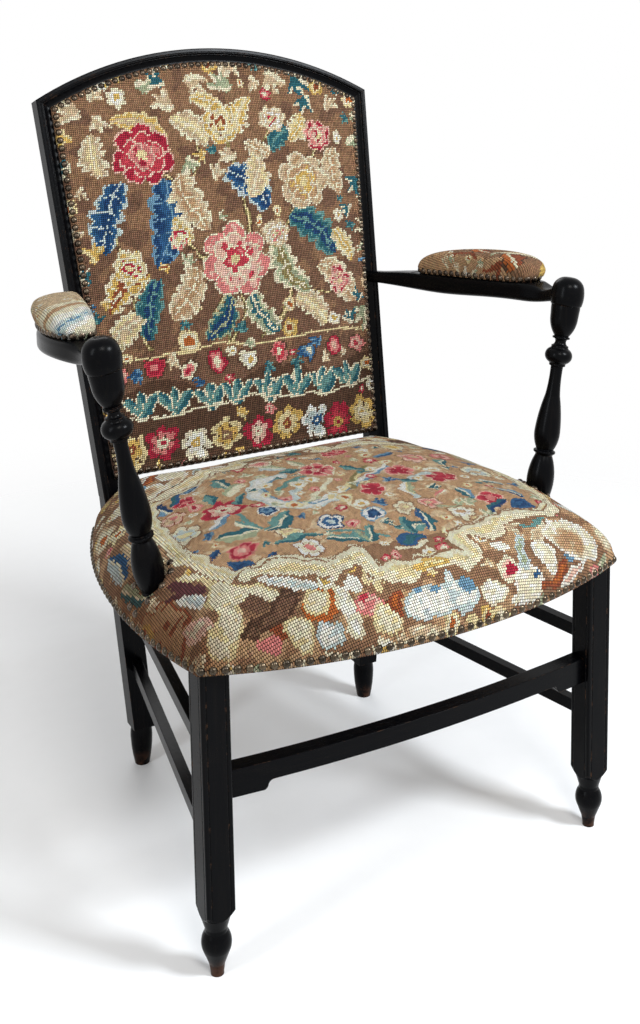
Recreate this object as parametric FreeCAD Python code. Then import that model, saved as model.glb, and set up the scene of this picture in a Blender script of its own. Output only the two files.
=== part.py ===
import FreeCAD, Part
import math
import os

# Open armchair: an ebonised frame, a stuffed-over seat, a nailed back panel and padded arms.
# Millimetres, +Z up, front towards -Y, origin on the floor under the middle of the chair.

V = FreeCAD.Vector
os.makedirs("parts", exist_ok=True)

# Stance of the frame
FRONT_LEG_SPACING = 560.0
FRONT_LEG_Y = -264.5
FRONT_LEG_SIZE = 36.0
REAR_FOOT_INSET = 47.0
REAR_FOOT_Y = 196.0
REAR_LEG_WIDTH = 32.0
REAR_LEG_DEPTH = 30.0

# Front leg corners and peg feet
CORNER_BEAD = 5.5
QUIRK = 1.2
CORNER_ROUND = 2.4
LEG_SQUARE_FROM = 80.0
FOOT_NECK_HEIGHT = 60.0
FOOT_NECK_RADIUS = 13.5
FOOT_BULB_HEIGHT = 42.0
FOOT_BULB_RADIUS = 18.0
FOOT_TIP_RADIUS = 8.0
REAR_FOOT_HEIGHT = 60.0
REAR_FOOT_NECK_RADIUS = 14.6
REAR_FOOT_BULB_HEIGHT = 44.0
REAR_FOOT_BULB_RADIUS = 16.4
REAR_FOOT_TIP_RADIUS = 11.0

# Seat frame
RAIL_BOTTOM = 380.0
RAIL_HEIGHT = 36.0
RAIL_BEVEL = 12.0
FRONT_RAIL_THICK = 36.0
SIDE_RAIL_THICK = 42.0
BLOCK_REACH = 62.0
BLOCK_HEIGHT = 26.0

# Seat upholstery, in plan and in section
SEAT_MARGIN = 3.5
FRONT_BOW = 63.0
SIDE_BULGE_X = 323.0
SIDE_BULGE_Y = -92.0
DOME_CENTRE_Y = -70.0
DOME_HEIGHT = 118.0
DOME_FULLNESS = 2.2
DOME_STEPS = (0, 11, 22, 33, 44, 55, 66, 77, 86)
RAIL_PAD = 8.0
SEAT_COVER_THICK = 2.0
SEAT_NAIL_RISE = 6.0

# Raked back frame
BACK_RAKE = 12.4
KNEE_Y = 182.0
KNEE_Z = 424.0
KNEE_HALF_WIDTH = 243.0
BACK_SPREAD = 37.0
CORNER_UP = 590.0
CREST_RISE = 73.7
STILE_WIDTH = 34.0
STILE_DEPTH = 26.0
FRAME_FACE = 20.0
FRAME_CHAMFER = 1.4
FLAT_BAND = 5.5
FRAME_BEAD = 3.6
BEAD_PROUD = 1.4
FRAME_QUIRK = 1.2
QUIRK_DEPTH = 1.8
MOULDING_STEPS = 6
LAND_DROP = 6.0
LOWER_RAIL_UP = 29.0
LOWER_RAIL_HEIGHT = 36.0
LOWER_RAIL_DEPTH = 18.0

# Back upholstery
BACK_CROWN = 17.0
BACK_FULLNESS = 3.0
BACK_STEPS = (0, 4, 12, 24, 40, 56, 70, 80, 87)
BACK_COVER_THICK = 2.0
BACK_COVER_RIM = 6.0
OUTSIDE_BACK_INSET = 7.0
OUTSIDE_BACK_THICK = 1.4

# Stretchers
FRONT_STRETCHER_TOP = 249.0
FRONT_STRETCHER_HEIGHT = 23.0
FRONT_STRETCHER_DEPTH = 21.0
FRONT_STRETCHER_BOW = 16.0
FRONT_STRETCHER_SETBACK = 11.5
BRACKET_DROP = 11.0
BRACKET_LENGTH = 40.0
BRACKET_OGEE = 16.0
SIDE_STRETCHER_WIDTH = 14.0
SIDE_STRETCHER_HEIGHT = 17.0
UPPER_STRETCHER_Z = 266.0
LOWER_STRETCHER_Z = 156.0
REAR_STRETCHER_Z = 212.0

# Arm supports, leaning outwards
SUPPORT_Y = -133.0
SUPPORT_INSET = 1.7
SUPPORT_LEAN = 10.1
SUPPORT_LENGTH = 288.0
SUPPORT_PATTERN = 288.0
SUPPORT_BULB_RADIUS = 18.7
SUPPORT_TENON_RADIUS = 7.5
SUPPORT_TENON_LENGTH = 24.0

# Arms
ARM_REAR_INSET = 7.5
ARM_REAR_RISE = -3.5
ARM_TENON_RADIUS = 5.0
ARM_TENON_LENGTH = 16.0
KNOB_HEIGHT = 40.0
KNOB_RADIUS = 23.5

# Arm pads
PAD_FRONT_Y = -62.0
PAD_REAR_Y = 164.0
PAD_FRONT_RISE = 22.1
PAD_REAR_RISE = 10.6
PAD_FRONT_ASIDE = 1.6
PAD_REAR_ASIDE = 42.0
PAD_BOW = 14.0
PAD_HALF_WIDTH = 33.0
PAD_END_HALF_WIDTH = 21.0
PAD_HEIGHT = 38.0
PAD_COVER_THICK = 1.8
PAD_REBATE = 0.6
PAD_DRAWN_IN = ((0.955, 0.0), (0.985, 0.12), (1.0, 0.25), (0.985, 0.41), (0.93, 0.59), (0.82, 0.76),
                (0.66, 0.885), (0.45, 0.965), (0.22, 1.0))

# Webbing and hessian
WEB_WIDTH = 50.0
WEB_THICK = 1.2
HESSIAN_THICK = 0.9
SEAT_WEBS_ACROSS = 5
SEAT_WEBS_ALONG = 5
BACK_WEBS_ACROSS = 4
BACK_WEBS_UP = 3

# Nails and screws
NAIL_RADIUS = 4.8
NAIL_RISE = 3.1
SEAT_NAIL_PITCH = 13.8
BACK_NAIL_PITCH = 11.8
PAD_NAIL_PITCH = 12.0
OUTSIDE_NAIL_PITCH = 26.0
SUPPORT_NAILS = 9
SUPPORT_NAIL_RISE = 18.0
NAIL_LIFT = 0.1
SCREW_RADIUS = 2.2
SCREW_HEAD_RADIUS = 4.2
SCREW_LENGTH = 34.0

# Joints in the wood
TENON_THICK = 12.0
TENON_LENGTH = 20.0
STRETCHER_TENON = 10.0
STRETCHER_SHOULDER = 3.0
JOINT_GAP = 0.15
SOFT_GAP = 0.6
POST_CLEARANCE = 4.0

RAIL_TOP = RAIL_BOTTOM + RAIL_HEIGHT
REAR_RAIL_THICK = STILE_DEPTH + SEAT_MARGIN - RAIL_PAD
CORNER_HALF_WIDTH = KNEE_HALF_WIDTH + BACK_SPREAD
FLARE = math.degrees(math.atan2(BACK_SPREAD, CORNER_UP))
REAR_FOOT_SPACING = 2 * (KNEE_HALF_WIDTH - REAR_FOOT_INSET)

# Where the arm and its pad come, from the support below and the stile behind
SUPPORT_BASE_X = SIDE_BULGE_X - RAIL_PAD - SIDE_RAIL_THICK / 2 - SUPPORT_INSET
SUPPORT_TOP_X = SUPPORT_BASE_X + SUPPORT_LENGTH * math.sin(math.radians(SUPPORT_LEAN))
SUPPORT_TOP_Z = RAIL_TOP + SUPPORT_LENGTH * math.cos(math.radians(SUPPORT_LEAN))
ARM_REAR_Z = SUPPORT_TOP_Z + ARM_REAR_RISE
ARM_REAR_UP = (ARM_REAR_Z - KNEE_Z) / math.cos(math.radians(BACK_RAKE))
ARM_REAR_X = KNEE_HALF_WIDTH + ARM_REAR_UP * BACK_SPREAD / CORNER_UP - ARM_REAR_INSET
PAD_FRONT_Z = SUPPORT_TOP_Z + PAD_FRONT_RISE
PAD_REAR_Z = SUPPORT_TOP_Z + PAD_REAR_RISE
PAD_FRONT_X = SUPPORT_TOP_X + PAD_FRONT_ASIDE
PAD_REAR_X = ARM_REAR_X + PAD_REAR_ASIDE


# Small shape helpers

def box(x0, x1, y0, y1, z0, z1):
    return Part.makeBox(x1 - x0, y1 - y0, z1 - z0, V(x0, y0, z0))


def mirrored(shape):
    return shape.mirror(V(0, 0, 0), V(1, 0, 0))


def closed_face(points):
    return Part.Face(Part.makePolygon(points + points[:1]))


def prism(points, z0, z1):
    face = closed_face([V(x, y, z0) for x, y in points])
    return face.extrude(V(0, 0, z1 - z0))


def arc(start, middle, end):
    return Part.Arc(start, middle, end).toShape()


def joined(first, *others):
    return first.multiFuse(list(others)).removeSplitter()


def circle_through(a, b, c):
    """centre and radius of the circle through three plan points"""
    circle = Part.Circle(V(a[0], a[1], 0), V(b[0], b[1], 0), V(c[0], c[1], 0))
    return (circle.Center.x, circle.Center.y), circle.Radius


def circles_meet(centre_a, radius_a, centre_b, radius_b, near):
    """meeting point of two plan circles that lies nearest a given point"""
    dx = centre_b[0] - centre_a[0]
    dy = centre_b[1] - centre_a[1]
    span = math.hypot(dx, dy)
    along = (radius_a ** 2 - radius_b ** 2 + span ** 2) / (2 * span)
    aside = math.sqrt(radius_a ** 2 - along ** 2)
    foot = (centre_a[0] + along * dx / span, centre_a[1] + along * dy / span)
    ends = [(foot[0] + s * aside * dy / span, foot[1] - s * aside * dx / span) for s in (1, -1)]
    return min(ends, key=lambda p: math.hypot(p[0] - near[0], p[1] - near[1]))


def turned(profile):
    """solid turned about +Z from (radius, height) steps; a step of four gives an arc's middle and end"""
    points = [V(p[-2], 0, p[-1]) for p in profile]
    edges = [Part.makeLine(V(0, 0, points[0].z), points[0])]
    for start, end, step in zip(points, points[1:], profile[1:]):
        if len(step) == 4:
            edges.append(arc(start, V(step[0], 0, step[1]), end))
        else:
            edges.append(Part.makeLine(start, end))
    edges.append(Part.makeLine(points[-1], V(0, 0, points[-1].z)))
    edges.append(Part.makeLine(V(0, 0, points[-1].z), V(0, 0, points[0].z)))
    return Part.Face(Part.Wire(edges)).revolve(V(0, 0, 0), V(0, 0, 1), 360)


def placed(shape, origin, direction):
    """copy of a shape made along +Z, set at an origin and pointed along a direction"""
    turn = FreeCAD.Rotation(V(0, 0, 1), direction)
    return shape.transformed(FreeCAD.Placement(origin, turn).toMatrix())


def crown_steps(fullness, angles):
    """share of the outline and of the height at each step up a full crown"""
    turns = [math.radians(angle) for angle in angles]
    return [(math.cos(turn) ** (2 / fullness), math.sin(turn) ** (2 / fullness)) for turn in turns]


def settled(form, points):
    """nail spots on the soft form's surface nearest to each point, as place and outward direction"""
    spots = []
    for point in points:
        dot = Part.Vertex(point)
        reach, face = min(((face.distToShape(dot), face) for face in form.Faces), key=lambda pair: pair[0][0])
        near = reach[1][0][0]
        outward = face.normalAt(*face.Surface.parameter(near))
        spots.append((near + outward * NAIL_LIFT, outward))
    return spots


def nail_head():
    """low domed head, a cap of a ball"""
    ball = (NAIL_RADIUS ** 2 + NAIL_RISE ** 2) / (2 * NAIL_RISE)
    rim = math.degrees(math.asin((ball - NAIL_RISE) / ball))
    return Part.makeSphere(ball, V(0, 0, NAIL_RISE - ball), V(0, 0, 1), rim, 90, 360)


def nails(spots):
    head = nail_head()
    return Part.makeCompound([placed(head, point, outward) for point, outward in spots])


def mirrored_spots(spots):
    return [(V(-p.x, p.y, p.z), V(-d.x, d.y, d.z)) for p, d in spots]


# Seat plan: a bowed front, bulging sides and a straight back

LEG_X = FRONT_LEG_SPACING / 2
LEG_OUT = LEG_X + FRONT_LEG_SIZE / 2
LEG_IN = LEG_X - FRONT_LEG_SIZE / 2
LEG_FRONT = FRONT_LEG_Y - FRONT_LEG_SIZE / 2
LEG_BACK = FRONT_LEG_Y + FRONT_LEG_SIZE / 2
KNEE_BACK = KNEE_Y + STILE_DEPTH
KNEE_IN = KNEE_HALF_WIDTH - STILE_WIDTH
FRONT_CORNER = (LEG_OUT + SEAT_MARGIN, LEG_FRONT - SEAT_MARGIN)
REAR_CORNER = (KNEE_HALF_WIDTH + SEAT_MARGIN, KNEE_BACK + SEAT_MARGIN)
FRONT_MIDDLE = (0, FRONT_CORNER[1] - FRONT_BOW)
SIDE_MIDDLE = (SIDE_BULGE_X, SIDE_BULGE_Y)
BOW_CENTRE, BOW_RADIUS = circle_through((-FRONT_CORNER[0], FRONT_CORNER[1]), FRONT_MIDDLE, FRONT_CORNER)
SIDE_CENTRE, SIDE_RADIUS = circle_through(FRONT_CORNER, SIDE_MIDDLE, REAR_CORNER)


def side_point(inset, y):
    """plan point on the right side curve, drawn in by an inset, at a given depth"""
    reach = SIDE_RADIUS - inset
    return (SIDE_CENTRE[0] + math.sqrt(reach ** 2 - (y - SIDE_CENTRE[1]) ** 2), y)


def seat_wire(z, inset, share=1.0, front=0.0, side=0.0, rear=0.0):
    """seat outline at a height, drawn in by an inset and shrunk about the dome's centre"""
    bow = BOW_RADIUS - inset - front
    sides = inset + side
    back_y = REAR_CORNER[1] - inset - rear
    a = circles_meet(BOW_CENTRE, bow, SIDE_CENTRE, SIDE_RADIUS - sides, FRONT_CORNER)
    b = side_point(sides, (a[1] + back_y) / 2)
    c = side_point(sides, back_y)
    plan = [(-a[0], a[1]), (0, BOW_CENTRE[1] - bow), a, b, c, (-c[0], c[1]), (-b[0], b[1])]
    p = [V(x * share, DOME_CENTRE_Y + (y - DOME_CENTRE_Y) * share, z) for x, y in plan]
    edges = [arc(p[0], p[1], p[2]), arc(p[2], p[3], p[4]), Part.makeLine(p[4], p[5]), arc(p[5], p[6], p[0])]
    return Part.Wire(edges)


def seat_slab(z0, z1, inset, **sides):
    return Part.Face(seat_wire(z0, inset, **sides)).extrude(V(0, 0, z1 - z0))


def seat_dome(inset, height):
    """crowned seat form with its sides drawn in towards the rails"""
    steps = crown_steps(DOME_FULLNESS, DOME_STEPS)
    wires = [seat_wire(RAIL_BOTTOM + height * rise, inset, share) for share, rise in steps]
    return Part.makeLoft(wires, True, False)


# Back plane: pieces are drawn upright with the frame's face at y = 0, then leaned

CREST_RADIUS = (CORNER_HALF_WIDTH ** 2 + CREST_RISE ** 2) / (2 * CREST_RISE)
CREST_CENTRE = CORNER_UP + CREST_RISE - CREST_RADIUS
FLARE_SIN = math.sin(math.radians(FLARE))
FLARE_COS = math.cos(math.radians(FLARE))
BACK_OUT = V(0, -math.cos(math.radians(BACK_RAKE)), math.sin(math.radians(BACK_RAKE)))


def leaned(shape):
    turn = FreeCAD.Rotation(V(1, 0, 0), -BACK_RAKE)
    return shape.transformed(FreeCAD.Placement(V(0, KNEE_Y, KNEE_Z), turn).toMatrix())


def leaned_point(x, y, up):
    turn = FreeCAD.Rotation(V(1, 0, 0), -BACK_RAKE)
    return turn.multVec(V(x, y, up)) + V(0, KNEE_Y, KNEE_Z)


def stile_x(inset, up):
    """half width of the back frame at a height, drawn in from its outer edge"""
    return KNEE_HALF_WIDTH + up * FLARE_SIN / FLARE_COS - inset / FLARE_COS


def back_corner(inset):
    """upper right corner of the back outline, drawn in by an inset"""
    reach = CREST_RADIUS - inset
    x0 = stile_x(inset, 0)
    slope = FLARE_SIN / FLARE_COS
    a = 1 + slope ** 2
    b = slope * x0 - CREST_CENTRE
    c = x0 ** 2 + CREST_CENTRE ** 2 - reach ** 2
    up = (-b + math.sqrt(b ** 2 - a * c)) / a
    return stile_x(inset, up), up


def back_wire(y, inset, bottom, share=1.0):
    """arched back outline at a depth, drawn in by an inset and shrunk about its middle"""
    x1, up1 = back_corner(inset)
    x0 = stile_x(inset, bottom)
    apex = CREST_CENTRE + CREST_RADIUS - inset
    middle = (bottom + apex) / 2
    plan = [(-x0, bottom), (x0, bottom), (x1, up1), (0, apex), (-x1, up1)]
    p = [V(x * share, y, middle + (up - middle) * share) for x, up in plan]
    edges = [Part.makeLine(p[0], p[1]), Part.makeLine(p[1], p[2]), arc(p[2], p[3], p[4])]
    edges.append(Part.makeLine(p[4], p[0]))
    return Part.Wire(edges)


def back_slab(y0, y1, inset, bottom):
    return Part.Face(back_wire(y0, inset, bottom)).extrude(V(0, y1 - y0, 0))


def back_dome(inset, bottom, base, crown):
    """panel crowned forwards from its base plane"""
    steps = crown_steps(BACK_FULLNESS, BACK_STEPS)
    wires = [back_wire(base - crown * rise, inset, bottom, share) for share, rise in steps]
    return Part.makeLoft(wires, True, False)


def frame_moulding():
    """section of the back frame, as (inwards from the outer edge, back from the face), in short straight steps"""
    bead_end = FLAT_BAND + FRAME_BEAD
    cove_start = bead_end + FRAME_QUIRK
    bead = arc(V(FLAT_BAND, 0, 0), V(FLAT_BAND + FRAME_BEAD / 2, -BEAD_PROUD, 0), V(bead_end, 0, 0))
    cove_mid = V((cove_start + FRAME_FACE) / 2 - 0.7, (QUIRK_DEPTH + LAND_DROP) / 2 + 0.9, 0)
    cove = arc(V(cove_start, QUIRK_DEPTH, 0), cove_mid, V(FRAME_FACE, LAND_DROP, 0))
    points = [V(0, STILE_DEPTH, 0), V(0, FRAME_CHAMFER, 0), V(FRAME_CHAMFER, 0, 0)]
    points += bead.discretize(MOULDING_STEPS + 1)
    points.append(V(bead_end, QUIRK_DEPTH, 0))
    points += cove.discretize(MOULDING_STEPS + 1)
    points += [V(STILE_WIDTH, LAND_DROP, 0), V(STILE_WIDTH, STILE_DEPTH, 0)]
    return closed_face(points)


def along_stile(inwards0, inwards1, y0, y1, up0, up1):
    """block laid along the right stile, measured from its outer edge"""
    block = box(-inwards1, -inwards0, y0, y1, up0, up1)
    turn = FreeCAD.Rotation(V(0, 1, 0), FLARE)
    return block.transformed(FreeCAD.Placement(V(KNEE_HALF_WIDTH, 0, 0), turn).toMatrix())


def mitre_block(side):
    """block on one side of the right mitre, through the frame's corners: 1 the crest's side, -1 the stile's"""
    outer = V(CORNER_HALF_WIDTH, 0, CORNER_UP)
    x, up = back_corner(STILE_WIDTH)
    line = (outer - V(x, 0, up)).normalize()
    normal = V(-line.z, 0, line.x)
    a = outer + line * 60
    b = outer - line * 110
    points = [a, b, b + normal * side * 120, a + normal * side * 120]
    return closed_face([V(p.x, -20, p.z) for p in points]).extrude(V(0, STILE_DEPTH + 40, 0))


# Front legs: beaded corners, lathe-cut shoulder and peg foot

def front_leg():
    square = box(LEG_IN, LEG_OUT, LEG_FRONT, LEG_BACK, FOOT_NECK_HEIGHT, RAIL_TOP)
    upright = [edge for edge in square.Edges if abs(edge.Vertexes[0].Z - edge.Vertexes[1].Z) > 1]
    square = square.makeFillet(CORNER_ROUND, upright)
    cuts = []
    for offset in (CORNER_BEAD, FRONT_LEG_SIZE - CORNER_BEAD - QUIRK):
        x = LEG_IN + offset
        y = LEG_FRONT + offset
        for face_y in (LEG_FRONT - QUIRK / 2, LEG_BACK - QUIRK / 2):
            cuts.append(box(x, x + QUIRK, face_y, face_y + QUIRK, 0, RAIL_BOTTOM))
        for face_x in (LEG_IN - QUIRK / 2, LEG_OUT - QUIRK / 2):
            cuts.append(box(face_x, face_x + QUIRK, y, y + QUIRK, 0, RAIL_BOTTOM))
    square = square.cut(Part.makeCompound(cuts))
    half_corner = FRONT_LEG_SIZE * 0.75
    lathe = turned([(FOOT_NECK_RADIUS, FOOT_NECK_HEIGHT), (FRONT_LEG_SIZE / 2, LEG_SQUARE_FROM - 5),
                    (half_corner, LEG_SQUARE_FROM + 8), (half_corner, RAIL_TOP)])
    lathe.translate(V(LEG_X, FRONT_LEG_Y, 0))
    foot = turned([(FOOT_TIP_RADIUS, 0), (FOOT_TIP_RADIUS, 3), (FOOT_TIP_RADIUS + 1.5, 14),
                   (FOOT_BULB_RADIUS - 1.2, FOOT_BULB_HEIGHT - 9),
                   (FOOT_BULB_RADIUS, FOOT_BULB_HEIGHT, FOOT_BULB_RADIUS - 2.4, FOOT_BULB_HEIGHT + 9),
                   (FOOT_NECK_RADIUS, FOOT_NECK_HEIGHT - 5), (FOOT_NECK_RADIUS, FOOT_NECK_HEIGHT)])
    foot.translate(V(LEG_X, FRONT_LEG_Y, 0))
    leg = joined(square.common(lathe), foot)
    under_seat = seat_dome(SEAT_COVER_THICK + 1.0, DOME_HEIGHT - 5).fuse(
        box(LEG_IN - 1, LEG_OUT + 1, LEG_FRONT - 1, LEG_BACK + 1, 0, RAIL_BOTTOM + 0.5))
    return leg.common(under_seat)


# Rear posts: foot, leg and moulded stile in one

def rear_leg_section(z):
    """front-left corner and size of the rear leg's section at a height, as x0, x1, y0, y1"""
    share = (z - REAR_FOOT_HEIGHT) / (KNEE_Z - REAR_FOOT_HEIGHT)
    foot_x = REAR_FOOT_SPACING / 2
    low = (foot_x - REAR_LEG_WIDTH / 2, foot_x + REAR_LEG_WIDTH / 2,
           REAR_FOOT_Y - REAR_LEG_DEPTH / 2, REAR_FOOT_Y + REAR_LEG_DEPTH / 2)
    high = (KNEE_IN, KNEE_HALF_WIDTH, KNEE_Y, KNEE_BACK)
    return [a + (b - a) * share for a, b in zip(low, high)]


def rear_post():
    rings = []
    for z in (REAR_FOOT_HEIGHT, KNEE_Z):
        x0, x1, y0, y1 = rear_leg_section(z)
        corners = [V(x0, y0, z), V(x1, y0, z), V(x1, y1, z), V(x0, y1, z)]
        rings.append(Part.makePolygon(corners + corners[:1]))
    leg = Part.makeLoft(rings, True, True)
    foot = turned([(REAR_FOOT_TIP_RADIUS, 0),
                   (REAR_FOOT_BULB_RADIUS - 1.6, REAR_FOOT_BULB_HEIGHT / 2,
                    REAR_FOOT_BULB_RADIUS, REAR_FOOT_BULB_HEIGHT),
                   (REAR_FOOT_BULB_RADIUS - 0.4, REAR_FOOT_BULB_HEIGHT + 8,
                    REAR_FOOT_NECK_RADIUS, REAR_FOOT_HEIGHT + 0.5)])
    foot.translate(V(REAR_FOOT_SPACING / 2, REAR_FOOT_Y, 0))
    section = frame_moulding().mirror(V(0, 0, 0), V(1, 0, 0))
    length = CORNER_UP + 90
    stile = section.extrude(V(0, 0, length))
    stile.translate(V(0, 0, -14))
    turn = FreeCAD.Rotation(V(0, 1, 0), FLARE)
    stile = stile.transformed(FreeCAD.Placement(V(KNEE_HALF_WIDTH, 0, 0), turn).toMatrix())
    stile = leaned(stile.cut(mitre_block(1)))
    below_knee = box(0, 400, 0, 400, KNEE_Z - 60, KNEE_Z)
    return joined(leg, foot, stile.cut(below_knee))


# Seat rails, cut from one bowed ring

def seat_block(low):
    """outline of the whole seat frame, bevelled along its upper edge"""
    wall = seat_slab(low, RAIL_TOP - RAIL_BEVEL, RAIL_PAD)
    lower = seat_wire(RAIL_TOP - RAIL_BEVEL, RAIL_PAD)
    upper = seat_wire(RAIL_TOP, RAIL_PAD + RAIL_BEVEL)
    return wall.fuse(Part.makeLoft([lower, upper], True, True))


def seat_ring():
    hollow = seat_slab(RAIL_BOTTOM - 1, RAIL_TOP + 1, RAIL_PAD, front=FRONT_RAIL_THICK,
                       side=SIDE_RAIL_THICK, rear=REAR_RAIL_THICK)
    return seat_block(RAIL_BOTTOM).cut(hollow)


LOW_TENON = (RAIL_BOTTOM + 4, RAIL_BOTTOM + RAIL_HEIGHT * 0.45)
HIGH_TENON = (RAIL_BOTTOM + RAIL_HEIGHT * 0.53, RAIL_TOP - 5)
SHOULDER_IN = 3.0


def front_rail_tenon(gap):
    y = LEG_FRONT + SHOULDER_IN
    return box(LEG_IN - 1, LEG_IN + TENON_LENGTH + gap, y - gap, y + TENON_THICK + gap,
               LOW_TENON[0] - gap, LOW_TENON[1] + gap)


def side_rail_front_tenon(gap):
    return box(LEG_X - TENON_THICK / 2 - gap, LEG_X + TENON_THICK / 2 + gap, LEG_BACK - TENON_LENGTH - gap,
               LEG_BACK + 1, HIGH_TENON[0] - gap, HIGH_TENON[1] + gap)


def side_rail_rear_tenon(gap):
    x = (KNEE_IN + KNEE_HALF_WIDTH) / 2
    return box(x - TENON_THICK / 2 - gap, x + TENON_THICK / 2 + gap, RAIL_REAR_Y - 1,
               RAIL_REAR_Y + TENON_LENGTH * 0.8 + gap, HIGH_TENON[0] - gap, HIGH_TENON[1] + gap)


def rear_rail_tenon(gap):
    y = (RAIL_REAR_Y + KNEE_BACK - RAIL_PAD + SEAT_MARGIN) / 2
    return box(RAIL_REAR_X - 1, RAIL_REAR_X + TENON_LENGTH + gap, y - TENON_THICK / 2 - gap,
               y + TENON_THICK / 2 + gap, LOW_TENON[0] - gap, LOW_TENON[1] + gap)


# Faces of the rear leg that the rails meet, at the lower end of its taper within the rails' height
RAIL_REAR_X = rear_leg_section(RAIL_BOTTOM)[0]
RAIL_REAR_Y = rear_leg_section(RAIL_BOTTOM)[2]


def support_axis():
    lean = math.radians(SUPPORT_LEAN)
    return V(SUPPORT_BASE_X, SUPPORT_Y, RAIL_TOP), V(math.sin(lean), 0, math.cos(lean))


def support_tenon(gap):
    base, axis = support_axis()
    peg = Part.makeCylinder(SUPPORT_TENON_RADIUS + gap, SUPPORT_TENON_LENGTH + 6 + gap)
    return placed(peg, base - axis * (SUPPORT_TENON_LENGTH + gap), axis)


# Turned arm support: lower bulb, ring, long baluster, ball between rings, neck and cup

def step_to_length(step):
    """one step of the turner's pattern, its heights drawn out to the support's length"""
    stretch = SUPPORT_LENGTH / SUPPORT_PATTERN
    return tuple(size * stretch if i % 2 else size for i, size in enumerate(step))


def arm_support():
    base, axis = support_axis()
    foot = [(13.0, -8), (14.5, 8), (SUPPORT_BULB_RADIUS, 46, 12.0, 71.5)]
    ring = [(13.0, 73.5), (15.5, 75.5), (15.5, 78), (12.2, 80)]
    baluster = [(17.4, 95, 18.1, 107), (15.4, 134, 10.6, 158), (8.9, 176, 8.8, 200)]
    ball = [(11.5, 201.2), (11.5, 204), (13.0, 205.5), (19.3, 215.8, 13.0, 226), (12.0, 227.5), (12.0, 230)]
    neck = [(7.7, 235, 9.2, 239.5), (12.2, 240.4), (12.2, 242.6), (10.0, 243.6)]
    cup = [(16.7, 255.5, 19.6, 271), (20.4, 283), (20.4, SUPPORT_PATTERN)]
    pattern = [step_to_length(step) for step in foot + ring + baluster + ball + neck + cup]
    shape = placed(turned(pattern), base, axis)
    above_rail = box(0, SIDE_BULGE_X + 200, SUPPORT_Y - 60, SUPPORT_Y + 60, RAIL_TOP, 2000)
    peg = Part.makeCylinder(SUPPORT_TENON_RADIUS, 30)
    peg = placed(peg, base + axis * (SUPPORT_LENGTH - 4), axis)
    return joined(shape.common(above_rail), support_tenon(0), peg)


def support_top_mortise():
    base, axis = support_axis()
    peg = Part.makeCylinder(SUPPORT_TENON_RADIUS + JOINT_GAP, 30 - 4 + JOINT_GAP)
    return placed(peg, base + axis * SUPPORT_LENGTH, axis)


# Arms: a paddle that grows out of the stile, carries the pad and ends in a knob

def arm_section(y, x, half_width, bottom, top):
    """rounded arm section across the chair at a depth"""
    r = min(half_width, (top - bottom) / 2) * 0.62
    k = r * 0.29
    x0 = x - half_width
    x1 = x + half_width
    p = [V(x0 + r, y, bottom), V(x0 + k, y, bottom + k), V(x0, y, bottom + r), V(x0, y, top - r),
         V(x0 + k, y, top - k), V(x0 + r, y, top), V(x1 - r, y, top), V(x1 - k, y, top - k),
         V(x1, y, top - r), V(x1, y, bottom + r), V(x1 - k, y, bottom + k), V(x1 - r, y, bottom)]
    edges = []
    for i in (0, 3, 6, 9):
        edges.append(arc(p[i], p[i + 1], p[i + 2]))
        edges.append(Part.makeLine(p[i + 2], p[(i + 3) % 12]))
    return Part.Wire(edges)


def pad_top_z(y):
    return PAD_FRONT_Z + (PAD_REAR_Z - PAD_FRONT_Z) * (y - PAD_FRONT_Y) / (PAD_REAR_Y - PAD_FRONT_Y)


def pad_x(y):
    """arm's centre line under the pad: straight between the pad's ends, bowed outwards"""
    share = (y - PAD_FRONT_Y) / (PAD_REAR_Y - PAD_FRONT_Y)
    return PAD_FRONT_X + (PAD_REAR_X - PAD_FRONT_X) * share + 4 * PAD_BOW * share * (1 - share)


def arm_face_y(z):
    """depth of the stile's face where the arm meets it"""
    return KNEE_Y + (z - KNEE_Z) * math.tan(math.radians(BACK_RAKE))


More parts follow.
